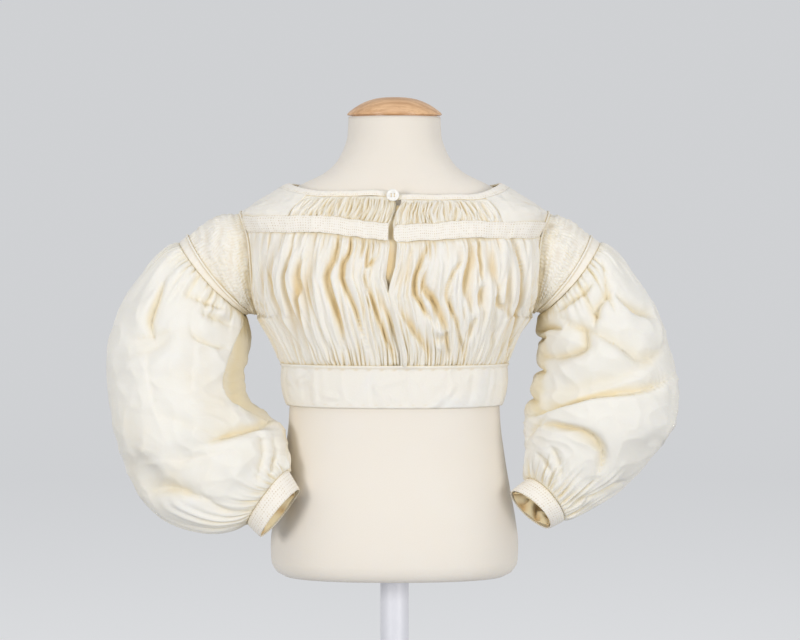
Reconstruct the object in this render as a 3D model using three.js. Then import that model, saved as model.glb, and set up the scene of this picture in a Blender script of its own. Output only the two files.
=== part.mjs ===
// A child's gathered cotton bodice of about 1830, worn on a limbless linen dress form that stands on a
// steel pole and a round foot. Millimetres. x runs to the wearer's left, y to the back and z up from
// the floor, with the origin under the middle of the foot. The front faces -y.
import * as THREE from "three";

// Driving sizes of the cloth.
const CLOTH_WALL = 1.8;
const SLEEVE_WALL = 2;
const SEAM_GAP = 0.3;
const WAIST_GAP = 0.7;
const WAIST_SEAM_Z = 386.6;
const BACK_NECK_Z = 535;
const FRONT_GATHERS = 12;
const UPRIGHT_SHARE = 0.55;
const BACK_GATHERS = 20;
const SLEEVE_GATHERS = 18;
const CAP_GATHERS = 16;
const PIPING_RADIUS = 1.1;
const PIPING_GROW = 3.1;
const ARMHOLE = { middleZ: 474, halfHeight: 44, halfDepth: 34, edgeGap: 1.8, capGap: -0.2 };
const CHEST_BAND = { width: 14.4, innerLift: 1.5, outerLift: 2.9 };
const CHEST_BAND_END = { settlesAt: 0.62, armholeGapDegrees: 2, topZ: 512 };
const OPENING = { radius: 85, rightGap: 1.2, leftGap: 0.6, gape: 2.2, gapeZ: 484, gapeReach: 17 };
const UNDERLAP = { halfWidth: 9, wall: 1.2, clearance: 1, bottomZ: 388.6, topZ: 526 };
const NECKBAND = { height: 4.8, clearance: 0.4, outerLift: 1, innerLift: -2.2, frontGapDegrees: 0.6 };
const BAND_LIFT = 0.6;
const CUFF = { halfDepth: 21, wall: 1.6, seamShare: 0.045 };
const SLEEVE_BAND = { topWidth: 9.5, underarmWidth: 4, wall: 1.6 };
const BAND_BOW = 4;
const BAND_SEAM = 1.3;
const CAP_END_GAP = 0.2;
const CAP_LENGTH = 50;
const CAP_RIDGE = 1.2;

// Driving sizes of the form and its stand.
const POLE = { radius: 12.5, clearance: 0.4, bottomZ: 3.3, socketTopZ: 260 };
const FOOT = { radius: 130, thickness: 8, hubRadius: 22, hubTopZ: 26, seatZ: 3 };
const NECK_TOP_Z = 603;
const NECK_CAP = { radius: 41.6, height: 17, reveal: 0.9, spigotRadius: 37, depthShare: 0.93, fullness: 2.6 };
const BUTTON = { radius: 5.6, thickness: 1.8, holeRadius: 0.7, holeOffset: 1.35 };
const BUTTON_PLACE = { x: -1.4, z: 533.8, lift: 3, tiltDegrees: 20 };

// Sections of the worn bodice: its smooth outer form before the gathers are added.
const bodySections = [
  { z: 386, halfWidth: 98.4, front: 77, back: 73, power: 2.2 },
  { z: 400, halfWidth: 104, front: 82, back: 77, power: 2.2 },
  { z: 414, halfWidth: 110, front: 86, back: 80, power: 2.25 },
  { z: 430, halfWidth: 119, front: 89, back: 82, power: 2.3 },
  { z: 450, halfWidth: 127, front: 90, back: 84, power: 2.4 },
  { z: 474, halfWidth: 131, front: 88, back: 84, power: 2.4 },
  { z: 500, halfWidth: 133, front: 80, back: 78, power: 2.4 },
  { z: 518, halfWidth: 135, front: 71, back: 72, power: 2.4 },
  { z: 525, halfWidth: 126, front: 67, back: 69, power: 2.4 },
  { z: 532, halfWidth: 114, front: 62, back: 65, power: 2.35 },
  { z: 539, halfWidth: 103, front: 58, back: 61, power: 2.3 },
  { z: 546, halfWidth: 92, front: 54, back: 57, power: 2.25 },
];

// Sections of the waistband's outer face.
const waistbandSections = [
  { z: 350, halfWidth: 95.6, front: 75.4, back: 72.6, power: 2.2 },
  { z: 362, halfWidth: 98.4, front: 77.4, back: 73.6, power: 2.2 },
  { z: 375, halfWidth: 99.6, front: 78.2, back: 74, power: 2.2 },
  { z: 383, halfWidth: 99.4, front: 78, back: 74, power: 2.2 },
  { z: 386.3, halfWidth: 100, front: 78.6, back: 74.6, power: 2.2 },
];

// Sections of the dress form from its flat underside to the top of its neck.
const formSections = [
  { z: 200, halfWidth: 97, front: 74, back: 74, power: 2.3 },
  { z: 204, halfWidth: 104, front: 80, back: 80, power: 2.3 },
  { z: 213, halfWidth: 108.5, front: 84, back: 84, power: 2.3 },
  { z: 228, halfWidth: 109, front: 85, back: 85, power: 2.3 },
  { z: 250, halfWidth: 106.5, front: 84, back: 83, power: 2.3 },
  { z: 278, halfWidth: 101.5, front: 81, back: 79, power: 2.25 },
  { z: 305, halfWidth: 97, front: 77, back: 75, power: 2.2 },
  { z: 335, halfWidth: 93.2, front: 74, back: 71.5, power: 2.2 },
  { z: 360, halfWidth: 92.2, front: 72.5, back: 69.5, power: 2.2 },
  { z: 385, halfWidth: 92.6, front: 72, back: 69, power: 2.2 },
  { z: 410, halfWidth: 98, front: 76, back: 73, power: 2.25 },
  { z: 440, halfWidth: 108, front: 79, back: 75, power: 2.3 },
  { z: 470, halfWidth: 117, front: 78, back: 76, power: 2.4 },
  { z: 495, halfWidth: 122, front: 71, back: 72, power: 2.4 },
  { z: 509, halfWidth: 122, front: 65, back: 67, power: 2.4 },
  { z: 517, halfWidth: 118, front: 61, back: 64, power: 2.4 },
  { z: 525, halfWidth: 111, front: 57, back: 60, power: 2.35 },
  { z: 532, halfWidth: 102, front: 53, back: 56, power: 2.3 },
  { z: 539, halfWidth: 91, front: 49, back: 52, power: 2.2 },
  { z: 546, halfWidth: 77, front: 45, back: 49, power: 2.1 },
  { z: 553, halfWidth: 62.5, front: 42.5, back: 46, power: 2 },
  { z: 561, halfWidth: 53, front: 40.5, back: 43, power: 2 },
  { z: 571, halfWidth: 46.5, front: 39, back: 40.5, power: 2 },
  { z: 587, halfWidth: 41.2, front: 38, back: 38.5, power: 2 },
  { z: NECK_TOP_Z, halfWidth: 40.4, front: 37.5, back: 37.5, power: 2 },
];

// Rows of a gathered panel. up runs from 0 at the waist seam to 1 at the chest band and 2 at the
// neckline; fine is the height of every gather and large that of the deep folds.
const panelRows = [
  { up: 0, fine: 1.2, large: 0 },
  { up: 0.1, fine: 1.6, large: 0.8 },
  { up: 0.225, fine: 1.4, large: 2.6 },
  { up: 0.338, fine: 1.2, large: 3.5 },
  { up: 0.402, fine: 1.2, large: 3.7 },
  { up: 0.534, fine: 1.2, large: 3.8 },
  { up: 0.683, fine: 1.2, large: 3.4 },
  { up: 0.83, fine: 1.1, large: 1.7 },
  { up: 0.93, fine: 0.7, large: 0.1 },
  { up: 0.998, fine: 0.5, large: 0 },
  { up: 1.25, fine: 1.1, large: 0 },
  { up: 2, fine: 0.7, large: 0 },
];

// One entry for each sleeve. The band ring is where the shirred cap meets the full sleeve, seen from
// the front by its top and bottom points. Each section of the full sleeve is a ring through an outer
// and an inner point, with the place of its middle and its half depth from front to back.
const sleeves = {
  right: {
    side: -1,
    bandTop: { x: -181.5, z: 498.2 },
    bandBottom: { x: -127.5, z: 431.5 },
    bandDepth: 37,
    capBulge: 6.5,
    cuffLean: 11,
    sections: [
      { along: 0.05, outerX: -199, outerZ: 488, innerX: -129, innerZ: 419, midY: -1, depth: 42 },
      { along: 0.13, outerX: -221, outerZ: 467, innerX: -126.5, innerZ: 406, midY: -3, depth: 52 },
      { along: 0.24, outerX: -243, outerZ: 434, innerX: -127, innerZ: 390, midY: -6, depth: 61 },
      { along: 0.36, outerX: -253.5, outerZ: 394, innerX: -129.5, innerZ: 374, midY: -11, depth: 66 },
      { along: 0.48, outerX: -250.5, outerZ: 353, innerX: -126, innerZ: 358, midY: -18, depth: 67 },
      { along: 0.6, outerX: -242.5, outerZ: 315, innerX: -106, innerZ: 343, midY: -27, depth: 64 },
      { along: 0.72, outerX: -229.5, outerZ: 283, innerX: -94, innerZ: 329, midY: -36, depth: 57 },
      { along: 0.83, outerX: -202.5, outerZ: 253.5, innerX: -91.5, innerZ: 312, midY: -49, depth: 47 },
      { along: 0.93, outerX: -159, outerZ: 242.5, innerX: -91.5, innerZ: 303, midY: -57, depth: 35 },
    ],
    cuffSeam: { outerX: -125.9, outerZ: 250, innerX: -92.1, innerZ: 296, midY: -64 },
    cuffMouth: { outerX: -114.4, outerZ: 239.7, innerX: -82.7, innerZ: 279.6, midY: -67 },
    creases: [
      { angle: 68, along: 0.2, turn: 40, across: 0.045, lean: 0.1, depth: -7 },
      { angle: 125, along: 0.28, turn: 35, across: 0.03, lean: 0, depth: -5 },
      { angle: 178, along: 0.5, turn: 30, across: 0.04, lean: 0, depth: -7 },
      { angle: 50, along: 0.8, turn: 45, across: 0.035, lean: 0.05, depth: -7 },
      { angle: 275, along: 0.42, turn: 55, across: 0.04, lean: 0.08, depth: -6 },
    ],
  },
  left: {
    side: 1,
    bandTop: { x: 172.5, z: 497.6 },
    bandBottom: { x: 126, z: 433 },
    bandDepth: 37,
    capBulge: 5,
    cuffLean: 21,
    sections: [
      { along: 0.05, outerX: 188, outerZ: 489, innerX: 127.5, innerZ: 422, midY: -1, depth: 42 },
      { along: 0.13, outerX: 208, outerZ: 467, innerX: 125, innerZ: 412, midY: -2, depth: 51 },
      { along: 0.24, outerX: 230, outerZ: 436, innerX: 124.5, innerZ: 399, midY: -4, depth: 59 },
      { along: 0.36, outerX: 243, outerZ: 398, innerX: 122, innerZ: 382, midY: -8, depth: 63 },
      { along: 0.48, outerX: 249.5, outerZ: 365, innerX: 117, innerZ: 364, midY: -14, depth: 64 },
      { along: 0.6, outerX: 247, outerZ: 336, innerX: 112.5, innerZ: 346, midY: -22, depth: 61 },
      { along: 0.72, outerX: 227, outerZ: 307, innerX: 112, innerZ: 328, midY: -30, depth: 53 },
      { along: 0.83, outerX: 202, outerZ: 281, innerX: 113.5, innerZ: 311, midY: -37, depth: 43 },
      { along: 0.93, outerX: 169, outerZ: 262, innerX: 114.5, innerZ: 298, midY: -42, depth: 33 },
    ],
    cuffSeam: { outerX: 145.4, outerZ: 250.9, innerX: 116.2, innerZ: 287.4, midY: -46 },
    cuffMouth: { outerX: 134.4, outerZ: 245.7, innerX: 101.9, innerZ: 276.8, midY: -51 },
    creases: [
      { angle: 100, along: 0.54, turn: 75, across: 0.035, lean: -0.05, depth: -9 },
      { angle: 130, along: 0.4, turn: 50, across: 0.03, lean: -0.03, depth: -7 },
      { angle: 60, along: 0.2, turn: 30, across: 0.05, lean: 0.12, depth: -6 },
      { angle: 178, along: 0.31, turn: 28, across: 0.03, lean: 0, depth: -5 },
      { angle: 275, along: 0.45, turn: 55, across: 0.04, lean: 0.06, depth: -6 },
    ],
  },
};

const FULL_TURN = 2 * Math.PI;
const QUARTER_TURN = Math.PI / 2;
const radians = THREE.MathUtils.degToRad;
const mix = THREE.MathUtils.lerp;
const smoothstep = THREE.MathUtils.smoothstep;

// A curve through the rows of one column of a table, smooth and never past the rows beside it.
function readColumn(table, key, column, at) {
  const last = table.length - 1;
  if (at <= table[0][key]) {
    return table[0][column];
  }
  if (at >= table[last][key]) {
    return table[last][column];
  }
  const slope = (i) => (table[i + 1][column] - table[i][column]) / (table[i + 1][key] - table[i][key]);
  const tangent = (i) => {
    if (i === 0 || i === last) {
      return slope(Math.min(i, last - 1));
    }
    const before = slope(i - 1);
    const after = slope(i);
    return before * after > 0 ? (2 * before * after) / (before + after) : 0;
  };
  let i = 0;
  while (table[i + 1][key] < at) {
    i += 1;
  }
  const span = table[i + 1][key] - table[i][key];
  const t = (at - table[i][key]) / span;
  const rise = t * t * (3 - 2 * t);
  const leave = t * (1 - t) * (1 - t);
  const arrive = -t * t * (1 - t);
  const bend = span * (leave * tangent(i) + arrive * tangent(i + 1));
  return mix(table[i][column], table[i + 1][column], rise) + bend;
}

// A section's half width, depths and squareness at a height.
function sectionAt(sections, z) {
  const read = (column) => readColumn(sections, "z", column, z);
  return { halfWidth: read("halfWidth"), front: read("front"), back: read("back"), power: read("power") };
}

// The point of a rounded section at an angle from the front, turning to the wearer's left.
function sectionPoint(sections, angle, z) {
  const { halfWidth, front, back, power } = sectionAt(sections, z);
  const ahead = Math.cos(angle);
  const aside = Math.sin(angle);
  const depth = ahead > 0 ? front : back;
  const reach = (Math.abs(aside) / halfWidth) ** power + (Math.abs(ahead) / depth) ** power;
  const radius = reach ** (-1 / power);
  return new THREE.Vector3(radius * aside, -radius * ahead, z);
}

// A point moved out from a smooth surface by lift. base(u, v) gives the surface's points.
function liftedPoint(base, u, v, lift, outward) {
  const step = 1e-3;
  const point = base(u, v);
  const alongU = base(u + step, v).sub(base(u - step, v));
  const alongV = base(u, v + step).sub(base(u, v - step));
  const normal = alongU.cross(alongV).normalize().multiplyScalar(outward);
  return point.addScaledVector(normal, lift);
}

// The volume's sign shows whether the faces point out, and those of a mirrored piece are turned round.
function facingOut(positions, triangles) {
  const corner = (i) => new THREE.Vector3().fromArray(positions, 3 * triangles[i]);
  let volume = 0;
  for (let i = 0; i < triangles.length; i += 3) {
    volume += corner(i).dot(corner(i + 1).cross(corner(i + 2)));
  }
  if (volume < 0) {
    triangles.reverse();
  }
  const geometry = new THREE.BufferGeometry();
  geometry.setAttribute("position", new THREE.Float32BufferAttribute(positions, 3));
  geometry.setIndex(triangles);
  geometry.computeVertexNormals();
  return geometry;
}

// A closed wall between an outer and an inner grid of points, rows by columns. A grid that wraps
// joins its last column to its first, as a tube does.
function closedWall(outer, inner, wraps) {
  const rows = outer.length;
  const columns = outer[0].length;
  const last = rows - 1;
  const edge = columns - 1;
  const out = (row, column) => row * columns + (column % columns);
  const inn = (row, column) => rows * columns + out(row, column);
  const triangles = [];
  const quad = (a, b, c, d) => triangles.push(a, b, c, a, c, d);
  const spans = wraps ? columns : edge;
  for (let row = 0; row < last; row += 1) {
    for (let column = 0; column < spans; column += 1) {
      const next = column + 1;
      quad(out(row, column), out(row, next), out(row + 1, next), out(row + 1, column));
      quad(inn(row, next), inn(row, column), inn(row + 1, column), inn(row + 1, next));
    }
    if (!wraps) {
      quad(inn(row, 0), out(row, 0), out(row + 1, 0), inn(row + 1, 0));
      quad(out(row, edge), inn(row, edge), inn(row + 1, edge), out(row + 1, edge));
    }
  }
  for (let column = 0; column < spans; column += 1) {
    const next = column + 1;
    quad(inn(0, column), inn(0, next), out(0, next), out(0, column));
    quad(out(last, column), out(last, next), inn(last, next), inn(last, column));
  }
  const points = [...outer.flat(), ...inner.flat()];
  return facingOut(points.flatMap((p) => p.toArray()), triangles);
}

// A solid through a stack of rings, closed at both ends by a fan to the ring's middle.
function closedStack(rings) {
  const columns = rings[0].length;
  const points = rings.flat();
  const triangles = [];
  const at = (row, column) => row * columns + (column % columns);
  const middle = (ring) => ring.reduce((sum, p) => sum.add(p), new THREE.Vector3()).divideScalar(columns);
  const bottom = points.push(middle(rings[0])) - 1;
  const top = points.push(middle(rings[rings.length - 1])) - 1;
  for (let column = 0; column < columns; column += 1) {
    const next = column + 1;
    for (let row = 0; row + 1 < rings.length; row += 1) {
      triangles.push(at(row, column), at(row, next), at(row + 1, next));
      triangles.push(at(row, column), at(row + 1, next), at(row + 1, column));
    }
    triangles.push(bottom, at(0, next), at(0, column));
    triangles.push(top, at(rings.length - 1, column), at(rings.length - 1, next));
  }
  return facingOut(points.flatMap((p) => p.toArray()), triangles);
}

// A round cord along a closed line of frames, each a centre with two directions across the cord.
function closedCord(frames, radius, sides) {
  const rings = frames.map(({ centre, across, up }) =>
    evenly(sides, (share) => {
      const turn = share * FULL_TURN;
      const point = centre.clone().addScaledVector(across, radius * Math.cos(turn));
      return point.addScaledVector(up, radius * Math.sin(turn));
    }),
  );
  const at = (row, column) => (row % rings.length) * sides + (column % sides);
  const triangles = [];
  rings.forEach((ring, row) =>
    ring.forEach((_, column) => {
      triangles.push(at(row, column), at(row, column + 1), at(row + 1, column + 1));
      triangles.push(at(row, column), at(row + 1, column + 1), at(row + 1, column));
    }),
  );
  return facingOut(rings.flat().flatMap((p) => p.toArray()), triangles);
}

// count values of make(share), with share from 0 up to but not including 1, as round a ring.
const evenly = (count, make) => Array.from({ length: count }, (_, i) => make(i / count, i));

// count + 1 values of make(share), with share from 0 to 1, as along a strip.
const along = (count, make) => Array.from({ length: count + 1 }, (_, i) => make(i / count, i));

// An even spread of heights for the gathers, so that no two neighbours are alike.
const unevenness = (k) => 0.5 + 0.5 * Math.sin(k * 2.4 + 1.1 * Math.sin(k * 1.7));

const materials = {
  cotton: new THREE.MeshStandardMaterial({ color: 0xf1e8d6, roughness: 0.92, metalness: 0 }),
  band: new THREE.MeshStandardMaterial({ color: 0xefe3cc, roughness: 0.95, metalness: 0 }),
  button: new THREE.MeshStandardMaterial({ color: 0xf7f5ee, roughness: 0.35, metalness: 0 }),
  linen: new THREE.MeshStandardMaterial({ color: 0xeee4d6, roughness: 0.9, metalness: 0 }),
  beech: new THREE.MeshStandardMaterial({ color: 0xd9a873, roughness: 0.5, metalness: 0 }),
  steel: new THREE.MeshStandardMaterial({ color: 0xe9e9ee, roughness: 0.4, metalness: 0 }),
};

const bodice = new THREE.Group();

function addPiece(name, geometry, material) {
  const mesh = new THREE.Mesh(geometry, material);
  mesh.name = name;
  bodice.add(mesh);
  return mesh;
}

// The body of the bodice

const bodyBase = (angle, z) => sectionPoint(bodySections, angle, z);
const bodyPoint = (angle, z, lift) => liftedPoint(bodyBase, angle, z, lift, 1);

// The bodice's half width where a line at depth y from the middle meets it.
function bodySide(y, z) {
  const { halfWidth, front, back, power } = sectionAt(bodySections, z);
  const share = Math.min(1, Math.abs(y) / (y < 0 ? front : back));
  return halfWidth * (1 - share ** power) ** (1 / power);
}

// The neckline's height at an angle from the front. The wearer's left half sits a little lower.
const NECKLINE = { rightFrontZ: 532.8, leftFrontZ: 529.6, shoulderZ: 540.4 };

function neckZ(angle) {
  const turned = Math.atan2(Math.sin(angle), Math.cos(angle));
  const fromFront = Math.abs(turned);
  const frontZ = turned > 0 ? NECKLINE.leftFrontZ : NECKLINE.rightFrontZ;
  const rise = smoothstep(fromFront, radians(48), radians(86));
  const fall = smoothstep(fromFront, radians(94), radians(140));
  return mix(mix(frontZ, NECKLINE.shoulderZ, rise), BACK_NECK_Z, fall);
}

// How far the armhole reaches from the middle of the side at a height, with the panel's edge gap.
function armholeDepth(z) {
  const share = (z - ARMHOLE.middleZ) / (ARMHOLE.halfHeight + ARMHOLE.edgeGap);
  return (ARMHOLE.halfDepth + ARMHOLE.edgeGap) * Math.sqrt(Math.max(0, 1 - share * share));
}

// The angle from the front at which a front panel ends: at the side seam, or at the armhole.
function frontEdgeAngle(z) {
  const depth = Math.max(SEAM_GAP / 2, armholeDepth(z));
  return Math.atan2(bodySide(-depth, z), depth);
}

// The same for the back panel, counted from the front too.
function backEdgeAngle(z) {
  const depth = Math.max(SEAM_GAP / 2, armholeDepth(z));
  return Math.PI - Math.atan2(bodySide(depth, z), depth);
}

// The strap meets the front under the chest band and the back along a slanting seam.
const STRAP = {
  frontAngle: radians(58),
  backAngle: radians(128),
  frontFootZ: 509,
  backFootZ: 503,
  gapAngle: radians(0.4),
};

// A front panel is flat for a few columns at its edges, its folds wander by a share of its width, and
// it draws in under the chest band.
const PANEL = { flatColumns: 5, wander: 0.012, squeezesFrom: 0.95, squeezedAt: 0.995 };

// The height of a front gather at its valley, its crest and its shoulder.
const GATHER_SHAPE = [0, 1, 0.8];

// The chest band's middle line rises from the opening to the armhole, and more so on the right.
const chestRise = {
  right: { centreZ: 501.5, sideZ: 508.4, start: 5.6 },
  left: { centreZ: 499.6, sideZ: 503.5, start: 0.6 },
};

function chestLine(side, share) {
  const { centreZ, sideZ } = side < 0 ? chestRise.right : chestRise.left;
  return mix(centreZ, sideZ, smoothstep(share, 0, CHEST_BAND_END.settlesAt));
}

// A front panel, gathered at the waist seam, under the chest band and at the neckline.
function frontPanel(side) {
  const columns = FRONT_GATHERS * GATHER_SHAPE.length;
  const gapeAt = (z) => OPENING.gape * Math.exp(-(((z - OPENING.gapeZ) / OPENING.gapeReach) ** 2));
  const centreGap = (z) => (side < 0 ? OPENING.rightGap + gapeAt(z) : OPENING.leftGap);
  const place = (share, up) => {
    const lower = mix(WAIST_SEAM_Z + WAIST_GAP, chestLine(side, share), Math.min(up, 1));
    const squeeze = smoothstep(up, PANEL.squeezesFrom, PANEL.squeezedAt);
    const edge = mix(frontEdgeAngle(lower), STRAP.frontAngle - STRAP.gapAngle, squeeze);
    const start = centreGap(lower) / OPENING.radius;
    const upright = (at) => mix(start, QUARTER_TURN, at);
    const beyond = (share - UPRIGHT_SHARE) / (1 - UPRIGHT_SHARE);
    const belowBand = beyond < 0 ? upright(share) : mix(upright(UPRIGHT_SHARE), edge, beyond);
    const angle = side * mix(belowBand, mix(start, edge, share), squeeze);
    return { angle, z: up > 1 ? mix(lower, neckZ(angle), up - 1) : lower };
  };
  const lift = (column, row) => {
    const gather = Math.floor(column / GATHER_SHAPE.length);
    const ends = smoothstep(Math.min(column, columns - column), 0, PANEL.flatColumns);
    const crest = row.fine + row.large * unevenness(gather + (side > 0 ? 7 : 0));
    return ends * crest * GATHER_SHAPE[column % GATHER_SHAPE.length];
  };
  const sway = (share, up) => Math.sin(up * 5 + share * 9) * Math.sin(share * Math.PI);
  const wander = (share, up) => share + PANEL.wander * sway(share, up);
  const grid = (inset) =>
    panelRows.map((row) =>
      along(columns, (share, column) => {
        const { angle, z } = place(wander(share, row.up), row.up);
        return bodyPoint(angle, z, lift(column, row) - inset);
      }),
    );
  return closedWall(grid(0), grid(CLOTH_WALL), false);
}

// The back panel is one piece, gathered at the waist seam and the neckline. It is flat for a few
// columns at its edges, fine is the height of every gather and large that of the deepest fold.
const BACK_FOLDS = { flatColumns: 4, fine: 1.2, large: 4.5 };

function backPanel() {
  const columns = BACK_GATHERS * 2;
  const edgeAngle = (z) => {
    const slant = (z - STRAP.backFootZ) / (neckZ(STRAP.backAngle) - STRAP.backFootZ);
    const foot = backEdgeAngle(Math.min(z, STRAP.backFootZ));
    return mix(foot, STRAP.backAngle, Math.max(0, Math.min(1, slant))) + STRAP.gapAngle;
  };
  const bottomZ = WAIST_SEAM_Z + WAIST_GAP;
  const topZ = BACK_NECK_Z - SEAM_GAP;
  const heights = [bottomZ, 396, 412, 428.2, 436, 452, 470, 489, STRAP.backFootZ, 519.5, topZ];
  const lift = (column, z) => {
    const ends = smoothstep(Math.min(column, columns - column), 0, BACK_FOLDS.flatColumns);
    const upward = (z - bottomZ) / (BACK_NECK_Z - bottomZ);
    const large = BACK_FOLDS.large * Math.sin(Math.PI * upward) ** 2;
    return column % 2 === 0 ? 0 : ends * (BACK_FOLDS.fine + large * unevenness(column));
  };
  const grid = (inset) =>
    heights.map((z) =>
      along(columns, (share, column) => {
        const angle = mix(edgeAngle(z), FULL_TURN - edgeAngle(z), share);
        return bodyPoint(angle, z, lift(column, z) - inset);
      }),
    );
  return closedWall(grid(0), grid(CLOTH_WALL), false);
}

// A plain strap over the shoulder, from the chest band in front to a slanting seam behind. Its inner
// edge is the neckline and its outer edge the top of the armhole.
function shoulderStrap(side) {
  const lengthwise = 12;
  const crosswise = 2;
  const frontShare = 0.3;
  const innerEdge = (q) => {
    if (q <= frontShare) {
      const up = q / frontShare;
      const angle = STRAP.frontAngle + STRAP.gapAngle;
      return { angle, z: mix(STRAP.frontFootZ, neckZ(side * angle), up) - SEAM_GAP };
    }
    const over = (q - frontShare) / (1 - frontShare);
    const angle = mix(STRAP.frontAngle + STRAP.gapAngle, STRAP.backAngle - STRAP.gapAngle, over);
    return { angle, z: neckZ(side * angle) - SEAM_GAP };
  };
  const halfHeight = ARMHOLE.halfHeight + ARMHOLE.edgeGap;
  const footTurn = (z) => Math.acos(Math.min(1, (z - ARMHOLE.middleZ) / halfHeight));
  const outerEdge = (q) => {
    const turn = mix(-footTurn(STRAP.frontFootZ), footTurn(STRAP.backFootZ), q);
    const z = ARMHOLE.middleZ + halfHeight * Math.cos(turn);
    const y = (ARMHOLE.halfDepth + ARMHOLE.edgeGap) * Math.sin(turn);
    return { angle: QUARTER_TURN + Math.atan2(y, bodySide(y, z)), z };
  };
  const grid = (inset) =>
    along(lengthwise, (q) =>
      along(crosswise, (p) => {
        const inner = innerEdge(q);
        const outer = outerEdge(q);
        return bodyPoint(side * mix(inner.angle, outer.angle, p), mix(inner.z, outer.z, p), -inset);
      }),
    );
  return closedWall(grid(0), grid(CLOTH_WALL), false);
}

// The neckband is one strip that runs round the neck from the middle of the front and back to it.
function neckband() {
  const { height, clearance, outerLift, innerLift, frontGapDegrees } = NECKBAND;
  const from = radians(frontGapDegrees);
  const grid = (lift) =>
    [clearance, height].map((up) =>
      along(48, (share) => {
        const angle = mix(from, FULL_TURN - from, share);
        return bodyPoint(angle, neckZ(angle) + up, lift);
      }),
    );
  return closedWall(grid(outerLift), grid(innerLift), false);
}

// An applied chest band holds the gathers of one front, from the opening to the armhole.
function chestBand(side) {
  const { width, innerLift, outerLift } = CHEST_BAND;
  const { armholeGapDegrees, topZ } = CHEST_BAND_END;
  const start = (side < 0 ? chestRise.right.start : chestRise.left.start) / OPENING.radius;
  const grid = (lift) =>
    [-0.5, 0.5].map((across) =>
      along(18, (share) => {
        const z = chestLine(side, share) + across * width;
        const edge = frontEdgeAngle(Math.min(z, topZ)) - radians(armholeGapDegrees);
        return bodyPoint(side * mix(start, edge, share), z, lift);
      }),
    );
  return closedWall(grid(outerLift), grid(innerLift), false);
}

// The underlap is a straight strip behind the opening, sewn to the wearer's right front.
function underlap() {
  const { halfWidth, wall, clearance, bottomZ, topZ } = UNDERLAP;
  const outerLift = -CLOTH_WALL - clearance;
  const grid = (lift) =>
    along(8, (up) =>
      along(3, (share) => {
        const angle = mix(-halfWidth, halfWidth, share) / OPENING.radius;
        return bodyPoint(angle, mix(bottomZ, topZ, up), lift);
      }),
    );
  return closedWall(grid(outerLift), grid(outerLift - wall), false);
}

function waistband() {
  const base = (angle, z) => sectionPoint(waistbandSections, angle, z);
  const grid = (lift) =>
    waistbandSections.map(({ z }) => evenly(36, (share) => liftedPoint(base, share * FULL_TURN, z, lift, 1)));
  return closedWall(grid(0), grid(-CLOTH_WALL), true);
}

// The sleeves

// The armhole's seam line, with grow to take it out. turn is 0 at the top and a quarter at the front.
function armholePoint(side, turn, grow) {
  const y = -(ARMHOLE.halfDepth + grow) * Math.sin(turn);
  const z = ARMHOLE.middleZ + (ARMHOLE.halfHeight + grow) * Math.cos(turn);
  return new THREE.Vector3(side * bodySide(y, z), y, z);
}

// The directions of a sleeve where its band is: up across the band, and down the arm.
function bandFrame(sleeve) {
  const top = new THREE.Vector3(sleeve.bandTop.x, 0, sleeve.bandTop.z);
  const bottom = new THREE.Vector3(sleeve.bandBottom.x, 0, sleeve.bandBottom.z);
  const across = top.clone().sub(bottom);
  const radius = across.length() / 2;
  across.normalize();
  const downArm = new THREE.Vector3(sleeve.side * across.z, 0, -sleeve.side * across.x);
  const middle = top.add(bottom).divideScalar(2);
  return { across, downArm, middle, radius };
}

// A point of the band's ring, moved down the arm.
function bandPoint(sleeve, turn, down) {
  const { across, downArm, middle, radius } = bandFrame(sleeve);
  const bow = BAND_BOW * Math.sin(turn) ** 2;
  const point = middle.clone().addScaledVector(across, radius * Math.cos(turn));
  point.y -= sleeve.bandDepth * Math.sin(turn);
  return point.addScaledVector(downArm, down + bow);
}

// The shirred cap runs from the armhole to the band and is nearly closed up at the underarm.
function sleeveCap(sleeve) {
  const columns = CAP_GATHERS * 2;
  const base = (turn, down) => {
    const start = armholePoint(sleeve.side, turn, -ARMHOLE.capGap);
    const end = bandPoint(sleeve, turn, -CAP_END_GAP);
    const fullness = Math.min(1, start.distanceTo(end) / CAP_LENGTH);
    const bulge = sleeve.capBulge * fullness * Math.sin(Math.PI * down) ** 1.3;
    const point = start.lerp(end, down);
    point.y -= bulge * Math.sin(turn);
    point.z += bulge * Math.cos(turn);
    return point;
  };
  const grid = (inset) =>
    [0.002, 0.18, 0.5, 0.82, 0.998].map((down) =>
      evenly(columns, (share, column) => {
        const ridge = column % 2 === 0 ? 0 : CAP_RIDGE * Math.sin(Math.PI * down) ** 0.8;
        return liftedPoint(base, share * FULL_TURN, down, ridge - inset, sleeve.side);
      }),
    );
  return closedWall(grid(0), grid(CLOTH_WALL), true);
}

// The band narrows towards the underarm.
function bandWidth(turn) {
  return mix(SLEEVE_BAND.underarmWidth, SLEEVE_BAND.topWidth, (1 + Math.cos(turn)) / 2);
}

function sleeveBand(sleeve) {
  const base = (turn, down) => bandPoint(sleeve, turn, down);
  const grid = (lift) =>
    [0, 1].map((far) =>
      evenly(32, (share) => {
        const turn = share * FULL_TURN;
        const down = mix(SEAM_GAP, bandWidth(turn), far);
        return liftedPoint(base, turn, down, lift, sleeve.side);
      }),
    );
  return closedWall(grid(BAND_LIFT), grid(BAND_LIFT - SLEEVE_BAND.wall), true);
}

// Piping lies in a seam on its outer side, a little clear of the two pieces that it joins.
function pipingRound(count, pointAt, outwardAt, alongAt) {
  const frames = evenly(count, (share) => {
    const turn = share * FULL_TURN;
    return { centre: pointAt(turn), across: outwardAt(turn), up: alongAt(turn) };
  });
  return closedCord(frames, PIPING_RADIUS, 5);
}

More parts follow.
